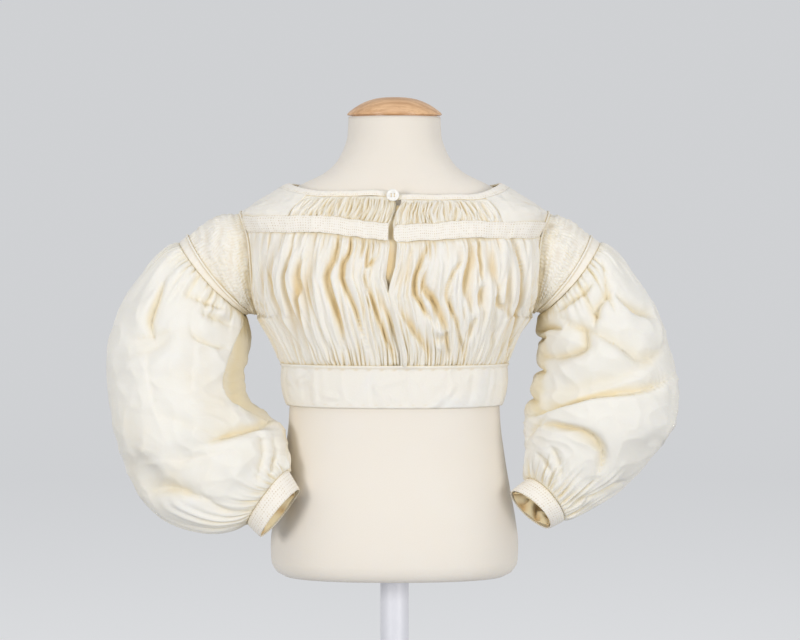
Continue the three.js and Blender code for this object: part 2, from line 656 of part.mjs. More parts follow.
function armholePiping(side) {
  const clear = 2 * PIPING_RADIUS;
  const outward = (turn) => new THREE.Vector3(0, -Math.sin(turn), Math.cos(turn));
  const centre = (turn) => armholePoint(side, turn, PIPING_GROW).add(new THREE.Vector3(side * clear, 0, 0));
  return pipingRound(32, centre, outward, () => new THREE.Vector3(side, 0, 0));
}

function bandPiping(sleeve) {
  const { across, downArm } = bandFrame(sleeve);
  const outward = (turn) => {
    const direction = across.clone().multiplyScalar(Math.cos(turn));
    direction.y -= Math.sin(turn);
    return direction.normalize();
  };
  const clear = BAND_LIFT + PIPING_RADIUS + 2 * SEAM_GAP;
  const centre = (turn) => bandPoint(sleeve, turn, PIPING_RADIUS + 0.6).addScaledVector(outward(turn), clear);
  return pipingRound(32, centre, outward, () => downArm);
}

// The rings of the full sleeve, from the band to the cuff, each as its middle and two half axes.
function sleeveRings(sleeve) {
  const top = bandPoint(sleeve, 0, bandWidth(0) + BAND_SEAM);
  const bottom = bandPoint(sleeve, Math.PI, bandWidth(Math.PI) + BAND_SEAM);
  const first = { along: 0, outerX: top.x, outerZ: top.z, innerX: bottom.x, innerZ: bottom.z, midY: 0 };
  const last = { ...sleeve.cuffSeam, along: 1, depth: CUFF.halfDepth, lean: sleeve.cuffLean };
  const middles = sleeve.sections.map((section) => ({
    ...section,
    lean: sleeve.cuffLean * smoothstep(section.along, 0.6, 1),
  }));
  return [{ ...first, depth: sleeve.bandDepth, lean: 0 }, ...middles, last];
}

// A ring's middle and its two half axes, outwards and to the front. A lean tips its front up the sleeve.
function ringFrame(sleeve, ring) {
  const outer = new THREE.Vector3(ring.outerX, ring.midY, ring.outerZ);
  const inner = new THREE.Vector3(ring.innerX, ring.midY, ring.innerZ);
  const half = outer.clone().sub(inner).divideScalar(2);
  const middle = outer.add(inner).divideScalar(2);
  const downSleeve = new THREE.Vector3(sleeve.side * half.z, 0, -sleeve.side * half.x).normalize();
  const lean = radians(ring.lean);
  const front = new THREE.Vector3(0, -Math.cos(lean), 0).addScaledVector(downSleeve, -Math.sin(lean));
  return { middle, half, front: front.multiplyScalar(ring.depth), downSleeve };
}

// A point round a ring.
function ringPoint({ middle, half, front }, turn) {
  return middle.clone().addScaledVector(half, Math.cos(turn)).addScaledVector(front, Math.sin(turn));
}

// The ring of the full sleeve at a share of its length from the band.
function sleeveRing(sleeve, down) {
  const at = THREE.MathUtils.clamp(down, 0, 1);
  const columns = ["outerX", "outerZ", "innerX", "innerZ", "midY", "depth", "lean"];
  return Object.fromEntries(columns.map((column) => [column, readColumn(sleeve.rings, "along", column, at)]));
}

// The gathers at the band and the cuff fade into the full middle of the sleeve. seam is their height
// in the seam and grown what they gain beside it.
const SLEEVE_FOLDS = { band: { seam: 1.2, grown: 3.4 }, cuff: { seam: 1, grown: 3 } };

function gatherHeight(down) {
  const atBand = SLEEVE_FOLDS.band.seam + SLEEVE_FOLDS.band.grown * smoothstep(down, 0, 0.08);
  const atCuff = SLEEVE_FOLDS.cuff.seam + SLEEVE_FOLDS.cuff.grown * smoothstep(1 - down, 0, 0.1);
  return atBand * (1 - smoothstep(down, 0.07, 0.36)) + atCuff * smoothstep(down, 0.7, 0.93);
}

// The height of a sleeve's troughs at a place. Each is long round the sleeve and narrow along it.
function creaseLift(creases, turn, down) {
  return creases.reduce((sum, crease) => {
    const away = THREE.MathUtils.euclideanModulo(turn - radians(crease.angle) + Math.PI, FULL_TURN) - Math.PI;
    const round = away / radians(crease.turn);
    const line = (down - crease.along - crease.lean * away) / crease.across;
    return sum + crease.depth * Math.exp(-round * round - line * line);
  }, 0);
}

function fullSleeve(sleeve) {
  const columns = SLEEVE_GATHERS * 2;
  const base = (turn, down) => {
    const frame = ringFrame(sleeve, sleeveRing(sleeve, down));
    const bow = BAND_BOW * Math.sin(turn) ** 2 * (1 - smoothstep(down, 0, 0.3));
    return ringPoint(frame, turn).addScaledVector(frame.downSleeve, bow);
  };
  const rows = [0.002, 0.035, 0.08, 0.15, 0.24, 0.34, 0.45, 0.56, 0.67, 0.78, 0.88, 0.955, 0.998];
  const grid = (inset) =>
    rows.map((down) =>
      evenly(columns, (share, column) => {
        const turn = share * FULL_TURN;
        const gather = column % 2 === 0 ? 0 : gatherHeight(down) * (0.7 + 0.3 * unevenness(column));
        const lift = gather + creaseLift(sleeve.creases, turn, down);
        return liftedPoint(base, turn, down, lift - inset, sleeve.side);
      }),
    );
  return closedWall(grid(0), grid(SLEEVE_WALL), true);
}

// A plain cuff runs from the last ring of the full sleeve to its own mouth.
function cuff(sleeve) {
  const ends = [sleeve.cuffSeam, sleeve.cuffMouth].map((ring) =>
    ringFrame(sleeve, { ...ring, depth: CUFF.halfDepth, lean: sleeve.cuffLean }),
  );
  const base = (turn, down) => ringPoint(ends[0], turn).lerp(ringPoint(ends[1], turn), down);
  const grid = (lift) =>
    [CUFF.seamShare, 0.5, 1].map((down) =>
      evenly(28, (share) => liftedPoint(base, share * FULL_TURN, down, lift, sleeve.side)),
    );
  return closedWall(grid(BAND_LIFT), grid(BAND_LIFT - CUFF.wall), true);
}

// The dress form and its stand

function formBody() {
  const columns = 26;
  const ring = (z, radius) =>
    evenly(columns, (share) => {
      const turn = share * FULL_TURN;
      return new THREE.Vector3(radius * Math.sin(turn), -radius * Math.cos(turn), z);
    });
  const socketRadius = POLE.radius + POLE.clearance;
  const skinRing = ({ z }) => evenly(columns, (share) => sectionPoint(formSections, share * FULL_TURN, z));
  const skin = formSections.map(skinRing);
  return closedStack([ring(POLE.socketTopZ, socketRadius), ring(formSections[0].z, socketRadius), ...skin]);
}

// The neck cap is a turned dome on a short spigot, which leaves a dark line above the neck.
function neckCap() {
  const { radius, height, reveal, spigotRadius, fullness } = NECK_CAP;
  const dome = along(6, (share) => {
    const r = radius * (1 - share);
    return new THREE.Vector2(r, reveal + 1 + (height - 1 - reveal) * (1 - (r / radius) ** fullness));
  });
  dome[dome.length - 1].x = 0;
  const spigot = [
    new THREE.Vector2(0, 0),
    new THREE.Vector2(spigotRadius, 0),
    new THREE.Vector2(spigotRadius, reveal),
  ];
  return lathe([...spigot, new THREE.Vector2(radius, reveal), ...dome], 28);
}

// A turned solid about the upright axis, with its profile from the bottom of the axis to the top.
function lathe(profile, sides) {
  const geometry = new THREE.LatheGeometry(profile, sides);
  geometry.rotateX(QUARTER_TURN);
  return geometry;
}

function pole() {
  const topZ = POLE.socketTopZ - 0.5;
  const geometry = new THREE.CylinderGeometry(POLE.radius, POLE.radius, topZ - POLE.bottomZ, 36);
  geometry.rotateX(QUARTER_TURN);
  geometry.translate(0, 0, (topZ + POLE.bottomZ) / 2);
  return geometry;
}

function foot() {
  const { radius, thickness, hubRadius, hubTopZ, seatZ } = FOOT;
  const bore = POLE.radius + POLE.clearance;
  const profile = [
    [0, 0],
    [radius - 2, 0],
    [radius, 2],
    [radius, thickness - 2],
    [radius - 3, thickness],
    [hubRadius + 6, thickness + 1.5],
    [hubRadius, thickness + 6],
    [hubRadius, hubTopZ - 2],
    [hubRadius - 2, hubTopZ],
    [bore, hubTopZ],
    [bore, seatZ],
    [0, seatZ],
  ];
  return lathe(profile.map(([r, z]) => new THREE.Vector2(r, z)), 32);
}

// The button is a flat disc with four holes that closes the neckband in front.
function button() {
  const { radius, thickness, holeRadius, holeOffset } = BUTTON;
  const outline = new THREE.Shape().absarc(0, 0, radius, 0, FULL_TURN);
  for (const x of [-holeOffset, holeOffset]) {
    for (const y of [-holeOffset, holeOffset]) {
      outline.holes.push(new THREE.Path().absarc(x, y, holeRadius, 0, FULL_TURN, true));
    }
  }
  return new THREE.ExtrudeGeometry(outline, { depth: thickness, bevelEnabled: false, curveSegments: 5 });
}

for (const side of [-1, 1]) {
  const wearers = side < 0 ? "right" : "left";
  addPiece(`front_${wearers}`, frontPanel(side), materials.cotton);
  addPiece(`shoulder_strap_${wearers}`, shoulderStrap(side), materials.cotton);
  addPiece(`chest_band_${wearers}`, chestBand(side), materials.band);
  addPiece(`armhole_piping_${wearers}`, armholePiping(side), materials.cotton);
}
addPiece("back", backPanel(), materials.cotton);
addPiece("neckband", neckband(), materials.band);
addPiece("front_underlap", underlap(), materials.cotton);
addPiece("waistband", waistband(), materials.cotton);

for (const [wearers, sleeve] of Object.entries(sleeves)) {
  sleeve.rings = sleeveRings(sleeve);
  addPiece(`sleeve_cap_${wearers}`, sleeveCap(sleeve), materials.cotton);
  addPiece(`sleeve_band_${wearers}`, sleeveBand(sleeve), materials.cotton);
  addPiece(`sleeve_piping_${wearers}`, bandPiping(sleeve), materials.cotton);
  addPiece(`sleeve_${wearers}`, fullSleeve(sleeve), materials.cotton);
  addPiece(`cuff_${wearers}`, cuff(sleeve), materials.band);
}

const buttonMesh = addPiece("neck_button", button(), materials.button);
buttonMesh.position.copy(bodyPoint(0, BUTTON_PLACE.z, BUTTON_PLACE.lift));
buttonMesh.position.x = BUTTON_PLACE.x;
buttonMesh.rotation.x = QUARTER_TURN - radians(BUTTON_PLACE.tiltDegrees);

addPiece("dress_form", formBody(), materials.linen);
const neckCapMesh = addPiece("neck_cap", neckCap(), materials.beech);
neckCapMesh.scale.y = NECK_CAP.depthShare;
neckCapMesh.position.z = NECK_TOP_Z + SEAM_GAP;
addPiece("stand_pole", pole(), materials.steel);
addPiece("stand_foot", foot(), materials.steel);

export default bodice;
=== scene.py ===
import math
from functools import partial

import bmesh
import bpy
import numpy as np
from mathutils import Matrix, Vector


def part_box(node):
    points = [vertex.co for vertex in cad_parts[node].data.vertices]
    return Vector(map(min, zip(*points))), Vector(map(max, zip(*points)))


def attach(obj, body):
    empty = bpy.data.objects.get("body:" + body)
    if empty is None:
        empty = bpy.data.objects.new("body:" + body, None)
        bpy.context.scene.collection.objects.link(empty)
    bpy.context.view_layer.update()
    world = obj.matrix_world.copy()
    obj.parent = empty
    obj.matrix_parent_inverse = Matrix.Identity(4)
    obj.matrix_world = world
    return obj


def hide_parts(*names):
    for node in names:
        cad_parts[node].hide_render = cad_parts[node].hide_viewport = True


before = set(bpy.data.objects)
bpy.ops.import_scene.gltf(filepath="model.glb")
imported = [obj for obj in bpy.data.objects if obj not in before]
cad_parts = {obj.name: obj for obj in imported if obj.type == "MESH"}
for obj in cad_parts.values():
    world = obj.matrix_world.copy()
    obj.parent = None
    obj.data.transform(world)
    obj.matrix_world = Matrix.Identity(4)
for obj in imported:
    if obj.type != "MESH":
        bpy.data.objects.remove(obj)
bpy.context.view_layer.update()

# Camera
# The view is a long lens three metres in front of the form, level with the bodice's shoulders and
# tipped a little down.
CAMERA_LENS = 153.4
CAMERA_PLACE = (0.00484, -3.0, 0.504)
CAMERA_TIP = math.radians(1.52)

camera_data = bpy.data.cameras.new("camera")
camera_data.sensor_width = 36
camera_data.lens = CAMERA_LENS
camera = bpy.data.objects.new("camera", camera_data)
camera.location = CAMERA_PLACE
camera.rotation_euler = (math.pi / 2 - CAMERA_TIP, 0, 0)
bpy.context.collection.objects.link(camera)
bpy.context.scene.camera = camera
bpy.context.scene.view_settings.view_transform = "Standard"

# Studio
# A pale grey floor curves up into a round wall, all one matt sheet without an edge, which glows evenly
# and lends the cloth no light of its own. Two wide soft lamps stand in front and one hangs above.
STUDIO_RADIUS = 9000
STUDIO_COVE = 5000
STUDIO_FLAT = 2000
COVE_STEPS = 24
LAMP_AIM = (0, 0, 0.3)
LAMPS = {
    # place, width, watts and colour
    "lamp_front_left": ((-2.0, -2.5, 0.75), 0.9, 38, (1.0, 0.985, 0.96)),
    "lamp_front_right": ((2.2, -2.6, 0.5), 1.4, 53, (1.0, 0.985, 0.96)),
    "lamp_above": ((0, -0.4, 3.2), 2.2, 17, (1.0, 1.0, 1.0)),
}
FULL_TURN = 2 * math.pi


def mesh_from(name, bm):
    """A smooth mesh of that name from a finished bmesh, which is then freed."""
    mesh = bpy.data.meshes.new(name)
    bm.to_mesh(mesh)
    bm.free()
    mesh.shade_smooth()
    return mesh


def turned_mesh(name, profile, steps=72, scale_y=1.0, raise_to=0.0):
    """A form turned on the upright axis from a profile of radius and height in millimetres."""
    bm = bmesh.new()
    corners = [bm.verts.new((radius / 1000, 0, height / 1000)) for radius, height in profile]
    edges = [bm.edges.new(pair) for pair in zip(corners, corners[1:])]
    bmesh.ops.spin(
        bm, geom=corners + edges, cent=(0, 0, 0), axis=(0, 0, 1), dvec=(0, 0, 0),
        angle=FULL_TURN, steps=steps, use_merge=True, use_normal_flip=False, use_duplicate=False,
    )
    bmesh.ops.remove_doubles(bm, verts=bm.verts, dist=1e-6)
    bmesh.ops.scale(bm, vec=(1, scale_y, 1), verts=bm.verts)
    bmesh.ops.translate(bm, vec=(0, 0, raise_to), verts=bm.verts)
    bmesh.ops.recalc_face_normals(bm, faces=bm.faces)
    mesh = mesh_from(name, bm)
    mesh.set_sharp_from_angle(angle=math.radians(40))
    return mesh


def feed(tree, node, values):
    """Sets a node's sockets. Each value is a number, a colour or another node's output."""
    for socket, value in values.items():
        if hasattr(value, "is_linked"):
            tree.links.new(value, node.inputs[socket])
        else:
            node.inputs[socket].default_value = value
    return node


def new_finish(name):
    """A new material, with its tree and its shader."""
    material = bpy.data.materials.new(name)
    material.use_nodes = True
    return material, material.node_tree, material.node_tree.nodes["Principled BSDF"]


backdrop_profile = [(0, 0), (STUDIO_FLAT, 0)]
for step in range(COVE_STEPS + 1):
    turn = math.pi / 2 * step / COVE_STEPS
    reach = STUDIO_RADIUS - STUDIO_COVE + STUDIO_COVE * math.sin(turn)
    backdrop_profile.append((reach, STUDIO_COVE * (1 - math.cos(turn))))
backdrop_mesh = turned_mesh("backdrop", backdrop_profile, 96)
matt_paint, matt_tree, matt_shader = new_finish("matt_grey_paint")
feed(matt_tree, matt_shader, {
    "Base Color": (0.62, 0.625, 0.635, 1), "Roughness": 1.0, "Specular IOR Level": 0.0,
    "Emission Color": (0.985, 0.99, 1.0, 1), "Emission Strength": 0.305,
})
backdrop_mesh.materials.append(matt_paint)
backdrop = bpy.data.objects.new("backdrop", backdrop_mesh)
backdrop.visible_diffuse = False
bpy.context.collection.objects.link(backdrop)

for lamp_name, (place, width, watts, colour) in LAMPS.items():
    lamp_data = bpy.data.lights.new(lamp_name, "AREA")
    lamp_data.shape = "SQUARE"
    lamp_data.size = width
    lamp_data.energy = watts
    lamp_data.color = colour
    lamp = bpy.data.objects.new(lamp_name, lamp_data)
    lamp.location = place
    direction = Vector(LAMP_AIM) - Vector(place)
    lamp.rotation_euler = direction.to_track_quat("-Z", "Y").to_euler()
    bpy.context.collection.objects.link(lamp)

world = bpy.data.worlds.new("studio_air")
world.use_nodes = True
feed(world.node_tree, world.node_tree.nodes["Background"], {"Color": (0.95, 0.97, 1.0, 1), "Strength": 0.5})
bpy.context.scene.world = world

# Dress form
# A limbless torso of moulded papier mache under stretched cream linen, in millimetres. It is smooth and
# bare, with a flat underside and a neck that stands clear of the bodice.
FORM_SECTIONS = np.array([
    # height, half width, front depth, back depth, squareness
    (200, 97, 74, 74, 2.3),
    (204, 104, 80, 80, 2.3),
    (213, 108.5, 84, 84, 2.3),
    (228, 109, 85, 85, 2.3),
    (250, 106.5, 84, 83, 2.3),
    (278, 101.5, 81, 79, 2.25),
    (305, 97, 77, 75, 2.2),
    (335, 93.2, 74, 71.5, 2.2),
    (360, 92.2, 72.5, 69.5, 2.2),
    (385, 92.6, 72, 69, 2.2),
    (410, 98, 76, 73, 2.25),
    (440, 108, 79, 75, 2.3),
    (470, 117, 78, 76, 2.4),
    (495, 122, 71, 72, 2.4),
    (509, 122, 65, 67, 2.4),
    (517, 118, 61, 64, 2.4),
    (525, 111, 57, 60, 2.35),
    (532, 102, 53, 56, 2.3),
    (539, 91, 49, 52, 2.2),
    (546, 77, 45, 49, 2.1),
    (553, 62.5, 42.5, 46, 2),
    (561, 53, 40.5, 43, 2),
    (571, 46.5, 39, 40.5, 2),
    (587, 41.2, 38, 38.5, 2),
    (603, 40.4, 37.5, 37.5, 2),
])
FORM_BOTTOM = FORM_SECTIONS[0, 0]
FORM_TOP = FORM_SECTIONS[-1, 0]


def smooth_curve(keys, values, at):
    """A smooth curve through the values at the keys, never past the values beside it."""
    keys = np.asarray(keys, float)
    values = np.asarray(values, float)
    slope = np.diff(values) / np.diff(keys)
    same_way = slope[:-1] * slope[1:] > 0
    total = np.where(same_way, slope[:-1] + slope[1:], 1)
    inner = np.where(same_way, 2 * slope[:-1] * slope[1:] / total, 0)
    tangent = np.concatenate([slope[:1], inner, slope[-1:]])
    at = np.clip(at, keys[0], keys[-1])
    i = np.clip(np.searchsorted(keys, at) - 1, 0, len(keys) - 2)
    span = keys[i + 1] - keys[i]
    t = (at - keys[i]) / span
    rise = t * t * (3 - 2 * t)
    bend = span * (t * (1 - t) ** 2 * tangent[i] - t * t * (1 - t) * tangent[i + 1])
    return values[i] + (values[i + 1] - values[i]) * rise + bend


def section_point(sections, angle, z):
    """The point of a rounded section at an angle from the front, turning to the wearer's left."""
    half_width, front, back, power = (smooth_curve(sections[:, 0], sections[:, k], z) for k in (1, 2, 3, 4))
    ahead = np.cos(angle)
    aside = np.sin(angle)
    depth = np.where(ahead > 0, front, back)
    reach = (np.abs(aside) / half_width) ** power + (np.abs(ahead) / depth) ** power
    radius = reach ** (-1 / power)
    return np.stack([radius * aside, -radius * ahead, z + 0 * radius], axis=-1)


def lay_sheet(name, columns, rows, place, cut, closed=False, turned=False):
    """A mesh of columns by rows, laid by place(across, up) in millimetres. cut is its flat size in
    metres, kept as its UV map, and place also gives how far each point is up its fold, from 0 to 1,
    kept as the fold attribute that paints fold shade into the colour. A closed sheet meets itself round
    a tube, and a turned one has its other face outwards."""
    bm = bmesh.new()
    bm.loops.layers.uv.new("cut")
    bmesh.ops.create_grid(bm, x_segments=columns, y_segments=rows, size=0.5, calc_uvs=True)
    if turned:
        bmesh.ops.reverse_faces(bm, faces=bm.faces)
    mesh = bpy.data.meshes.new(name)
    bm.to_mesh(mesh)
    flat = np.empty(3 * len(mesh.vertices))
    mesh.vertices.foreach_get("co", flat)
    flat = flat.reshape(-1, 3) + 0.5
    points, fold = place(np.round(flat[:, 0] * columns) / columns, np.round(flat[:, 1] * rows) / rows)
    mesh.vertices.foreach_set("co", (points / 1000).ravel())
    uv = np.empty(2 * len(mesh.loops))
    mesh.uv_layers["cut"].data.foreach_get("uv", uv)
    mesh.uv_layers["cut"].data.foreach_set("uv", (uv.reshape(-1, 2) * cut).ravel())
    mesh.attributes.new("fold", "FLOAT", "POINT").data.foreach_set("value", fold + np.zeros(len(points)))
    if closed:
        bm.clear()
        bm.from_mesh(mesh)
        bmesh.ops.remove_doubles(bm, verts=bm.verts, dist=2e-6)
        bm.to_mesh(mesh)
    bm.free()
    mesh.shade_smooth()
    return mesh


def add_piece(name, mesh, material, nodes, thickness=None):
    """Puts a piece on the model in the place of its nodes. thickness is its cloth's, in metres."""
    piece = bpy.data.objects.new(name, mesh)
    bpy.context.collection.objects.link(piece)
    mesh.materials.append(material)
    if thickness:
        wall = piece.modifiers.new("thickness", "SOLIDIFY")
        wall.thickness = thickness
        wall.offset = -1
    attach(piece, "root")
    if nodes:
        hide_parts(*nodes)
    return piece


def lay_piece(name, place, material, nodes, columns, rows, cut, thickness=None, closed=False,
              turned=False):
    """A sheet that is laid and put on the model at once."""
    mesh = lay_sheet(name, columns, rows, place, cut, closed, turned)
    return add_piece(name, mesh, material, nodes, thickness)


def mix_colours(tree, factor, first, second):
    """A node that blends two colours by a factor. Each is a colour or another node's output."""
    node = tree.nodes.new("ShaderNodeMix")
    node.data_type = "RGBA"
    return feed(tree, node, {0: factor, 6: first, 7: second}).outputs[2]


def product_of(tree, first, second):
    node = tree.nodes.new("ShaderNodeMath")
    node.operation = "MULTIPLY"
    return feed(tree, node, {0: first, 1: second}).outputs[0]


def range_of(tree, value, low, high, to_low=0.0, to_high=1.0):
    """A node that turns values from low to high into to_low to to_high."""
    node = tree.nodes.new("ShaderNodeMapRange")
    node.interpolation_type = "SMOOTHSTEP"
    sockets = {"Value": value, "From Min": low, "From Max": high, "To Min": to_low, "To Max": to_high}
    return feed(tree, node, sockets).outputs["Result"]


def noise_of(tree, vector, scale, detail=3.0, roughness=0.5):
    """A noise node's value."""
    sockets = {"Vector": vector, "Scale": scale, "Detail": detail, "Roughness": roughness}
    return feed(tree, tree.nodes.new("ShaderNodeTexNoise"), sockets).outputs["Fac"]


def bump_of(tree, height, strength, distance):
    """A bump node for a height."""
    sockets = {"Height": height, "Strength": strength, "Distance": distance}
    return feed(tree, tree.nodes.new("ShaderNodeBump"), sockets)


def place_of(tree, scale=(1, 1, 1)):
    """The place on the object in metres, times a scale."""
    sockets = {"Vector": tree.nodes.new("ShaderNodeTexCoord").outputs["Object"], "Scale": scale}
    return feed(tree, tree.nodes.new("ShaderNodeMapping"), sockets).outputs["Vector"]


def weave_of(tree, cut, thread):
    """The height of a plain weave of that thread pitch in metres, on the flat cut."""
    heights = []
    for direction in ("X", "Y"):
        wave = tree.nodes.new("ShaderNodeTexWave")
        wave.bands_direction = direction
        feed(tree, wave, {"Vector": cut, "Scale": 0.314 / thread, "Distortion": 1.5, "Detail": 1.0})
        heights.append(wave.outputs["Fac"])
    return product_of(tree, *heights)


def cloth_finish(name, crest, valley, thread, washed=0.25, aged=0.3, soft=0.08, crumpled=0.5, shaded=0.8,
                 openwork=0.0, crease_scale=16, crease_depth=0.0025):
    """Woven cloth: crest is its colour in the open, and the colour after it is painted shade deep in a fold,
    blended in by the mesh's fold attribute, which paints the shade of folds, creases and stitch rows.
    Some of it has washed out to a cool white and some has aged to yellow. shaded gives how much painted
    warm shade an occlusion node lays in hollows and between parts, and openwork gives how dark its small
    holes are painted, for the shade seen through them. The thread and the crease's depth are in metres."""
    material, tree, shader = new_finish(name)
    place = tree.nodes.new("ShaderNodeTexCoord").outputs["Object"]
    cut = tree.nodes.new("ShaderNodeUVMap")
    cut.uv_map = "cut"
    cut = cut.outputs["UV"]
    # painted shade: the fold attribute, from 0 deep in a fold to 1 in the open, blends the cloth from its
    # painted fold shade colour to its own colour
    fold = tree.nodes.new("ShaderNodeAttribute")
    fold.attribute_name = "fold"
    colour = mix_colours(tree, range_of(tree, fold.outputs["Fac"], 0.0, 0.95), valley, crest)
    washed_patch = range_of(tree, noise_of(tree, place, 16, 2.0), 0.5, 0.72, 0, washed)
    colour = mix_colours(tree, washed_patch, colour, (0.87, 0.87, 0.86, 1))
    aged_patch = range_of(tree, noise_of(tree, place, 9, 4.0, 0.6), 0.55, 0.8, 0, aged)
    colour = mix_colours(tree, aged_patch, colour, (0.80, 0.66, 0.42, 1))
    slubs = range_of(tree, noise_of(tree, cut, 900, 2.0), 0.3, 0.8, 0.0, 0.12)
    colour = mix_colours(tree, slubs, colour, (0.74, 0.66, 0.50, 1))
    if shaded:
        # painted shade: an occlusion node tints hollows, creases and the gaps between parts a warm gold,
        # where shade falls
        hollow = tree.nodes.new("ShaderNodeAmbientOcclusion")
        hollow.samples = 6
        hollow.inputs["Distance"].default_value = 0.02
        hollow_shade = range_of(tree, hollow.outputs["AO"], 0.25, 0.98, shaded, 0.0)
        colour = mix_colours(tree, hollow_shade, colour, (0.86, 0.73, 0.47, 1))
    if openwork:
        # painted shade: the openwork's small holes are not cut but painted dark in a weave pattern, for the
        # shade seen through them
        holes = range_of(tree, weave_of(tree, cut, 0.0022), 0.3, 0.7, 0.0, openwork)
        uneven = range_of(tree, noise_of(tree, cut, 260, 2.0), 0.35, 0.65, 0.15, 1.0)
        colour = mix_colours(tree, product_of(tree, holes, uneven), colour, (0.55, 0.43, 0.27, 1))
    weave = bump_of(tree, weave_of(tree, cut, thread), 0.6, 0.00012)
    creases = tree.nodes.new("ShaderNodeTexNoise")
    creases.noise_type = "RIDGED_MULTIFRACTAL"
    sockets = {"Vector": place, "Scale": crease_scale, "Detail": 4.0, "Roughness": 0.45, "Distortion": 0.4}
    feed(tree, creases, sockets)
    crumple = bump_of(tree, creases.outputs["Fac"], crumpled, crease_depth)
    tree.links.new(weave.outputs["Normal"], crumple.inputs["Normal"])
    feed(tree, shader, {
        "Base Color": colour, "Normal": crumple.outputs["Normal"], "Roughness": 0.9,
        "Specular IOR Level": 0.15, "Sheen Weight": 0.15, "Sheen Roughness": 0.5,
        "Subsurface Weight": soft, "Subsurface Radius": (1.0, 0.8, 0.5), "Subsurface Scale": 0.0015,
    })
    return material


LINEN_COLOUR = (0.84, 0.785, 0.71, 1)
linen = cloth_finish(
    "stretched_linen", LINEN_COLOUR, LINEN_COLOUR, 0.0006, washed=0.1, aged=0.08, crumpled=0.0, shaded=0.0,
)


def place_form(across, up):
    height = FORM_BOTTOM + up * (FORM_TOP - FORM_BOTTOM)
    return section_point(FORM_SECTIONS, across * FULL_TURN, height), 1.0


form_mesh = lay_sheet("linen_torso", 96, 120, place_form, (0.62, 0.42), closed=True)
form_bm = bmesh.new()
form_bm.from_mesh(form_mesh)
bmesh.ops.holes_fill(form_bm, edges=[edge for edge in form_bm.edges if edge.is_boundary], sides=0)
form_bm.to_mesh(form_mesh)
form_bm.free()
add_piece("linen_torso", form_mesh, linen, ["dress_form"])


# Neck cap
# A turned beech disc with a low dome and a satin varnish closes the neck. It sits on a short spigot,
# which leaves a thin dark line above the linen.
CAP_RADIUS = 41.6
CAP_HEIGHT = 17
CAP_REVEAL = 0.9
CAP_SPIGOT = 37
CAP_EDGE = 1.6
CAP_FULLNESS = 2.6
DOME_STEPS = 24
CAP_DEPTH_SHARE = 0.93
NECK_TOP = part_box("neck_cap")[0].z


cap_profile = [(0, 0), (CAP_SPIGOT, 0), (CAP_SPIGOT, CAP_REVEAL), (CAP_RADIUS - 0.6, CAP_REVEAL)]
cap_profile += [(CAP_RADIUS, CAP_REVEAL + 0.5), (CAP_RADIUS, CAP_REVEAL + 1.3)]
for step in range(1, DOME_STEPS + 1):
    radius = CAP_RADIUS * (1 - step / DOME_STEPS)
    dome = 1 - (radius / CAP_RADIUS) ** CAP_FULLNESS
    cap_profile.append((radius, CAP_REVEAL + CAP_EDGE + (CAP_HEIGHT - CAP_EDGE - CAP_REVEAL) * dome))
wood_cap_mesh = turned_mesh("beech_neck_cap", cap_profile, 96, CAP_DEPTH_SHARE, NECK_TOP)

beech, beech_tree, beech_shader = new_finish("varnished_beech")
grain = noise_of(beech_tree, place_of(beech_tree, (6, 60, 60)), 3.0, 6.0, 0.65)
grain = range_of(beech_tree, grain, 0.32, 0.68)
beech_colour = mix_colours(beech_tree, grain, (0.57, 0.31, 0.14, 1), (0.82, 0.51, 0.27, 1))
flecks = noise_of(beech_tree, place_of(beech_tree, (60, 500, 500)), 3.0, 2.0)
flecks = range_of(beech_tree, flecks, 0.58, 0.72, 0, 0.5)
feed(beech_tree, beech_shader, {
    "Base Color": mix_colours(beech_tree, flecks, beech_colour, (0.40, 0.20, 0.09, 1)),
    "Roughness": 0.42, "Coat Weight": 0.3, "Coat Roughness": 0.25,
})
add_piece("beech_neck_cap", wood_cap_mesh, beech, ["neck_cap"])


# Stand
# A steel tube with satin white paint runs up into the form from the hub of a round steel foot. The
# foot is heavy plate with a softened rim.
POLE_RADIUS = 12.5
POLE_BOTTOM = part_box("stand_pole")[0].z * 1000
POLE_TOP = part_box("stand_pole")[1].z * 1000

white_paint, paint_tree, paint_shader = new_finish("satin_white_paint")
paint_place = place_of(paint_tree)
paint_worn = range_of(paint_tree, noise_of(paint_tree, paint_place, 40, 5.0), 0.45, 0.8)
peel = bump_of(paint_tree, noise_of(paint_tree, paint_place, 900, 1.0), 0.2, 0.0002)
feed(paint_tree, paint_shader, {
    "Base Color": mix_colours(paint_tree, paint_worn, (0.74, 0.745, 0.80, 1), (0.69, 0.695, 0.75, 1)),
    "Normal": peel.outputs["Normal"], "Roughness": 0.35,
})

pole_profile = [
    (0, POLE_BOTTOM), (POLE_RADIUS - 0.5, POLE_BOTTOM), (POLE_RADIUS, POLE_BOTTOM + 0.5),
    (POLE_RADIUS, POLE_TOP - 0.5), (POLE_RADIUS - 0.5, POLE_TOP), (0, POLE_TOP),
]
add_piece("steel_pole", turned_mesh("steel_pole", pole_profile), white_paint, ["stand_pole"])

foot_profile = [
    (0, 0), (127, 0), (129.2, 0.8), (130, 2.4), (130, 5.6), (129.2, 7.2), (127, 8), (30, 9.4), (25, 10.6),
    (22.6, 13.5), (22, 16), (22, 24), (21.4, 25.4), (20, 26), (12.9, 26), (12.9, 3), (0, 3),
]
add_piece("steel_foot", turned_mesh("steel_foot", foot_profile, 96), white_paint, ["stand_foot"])


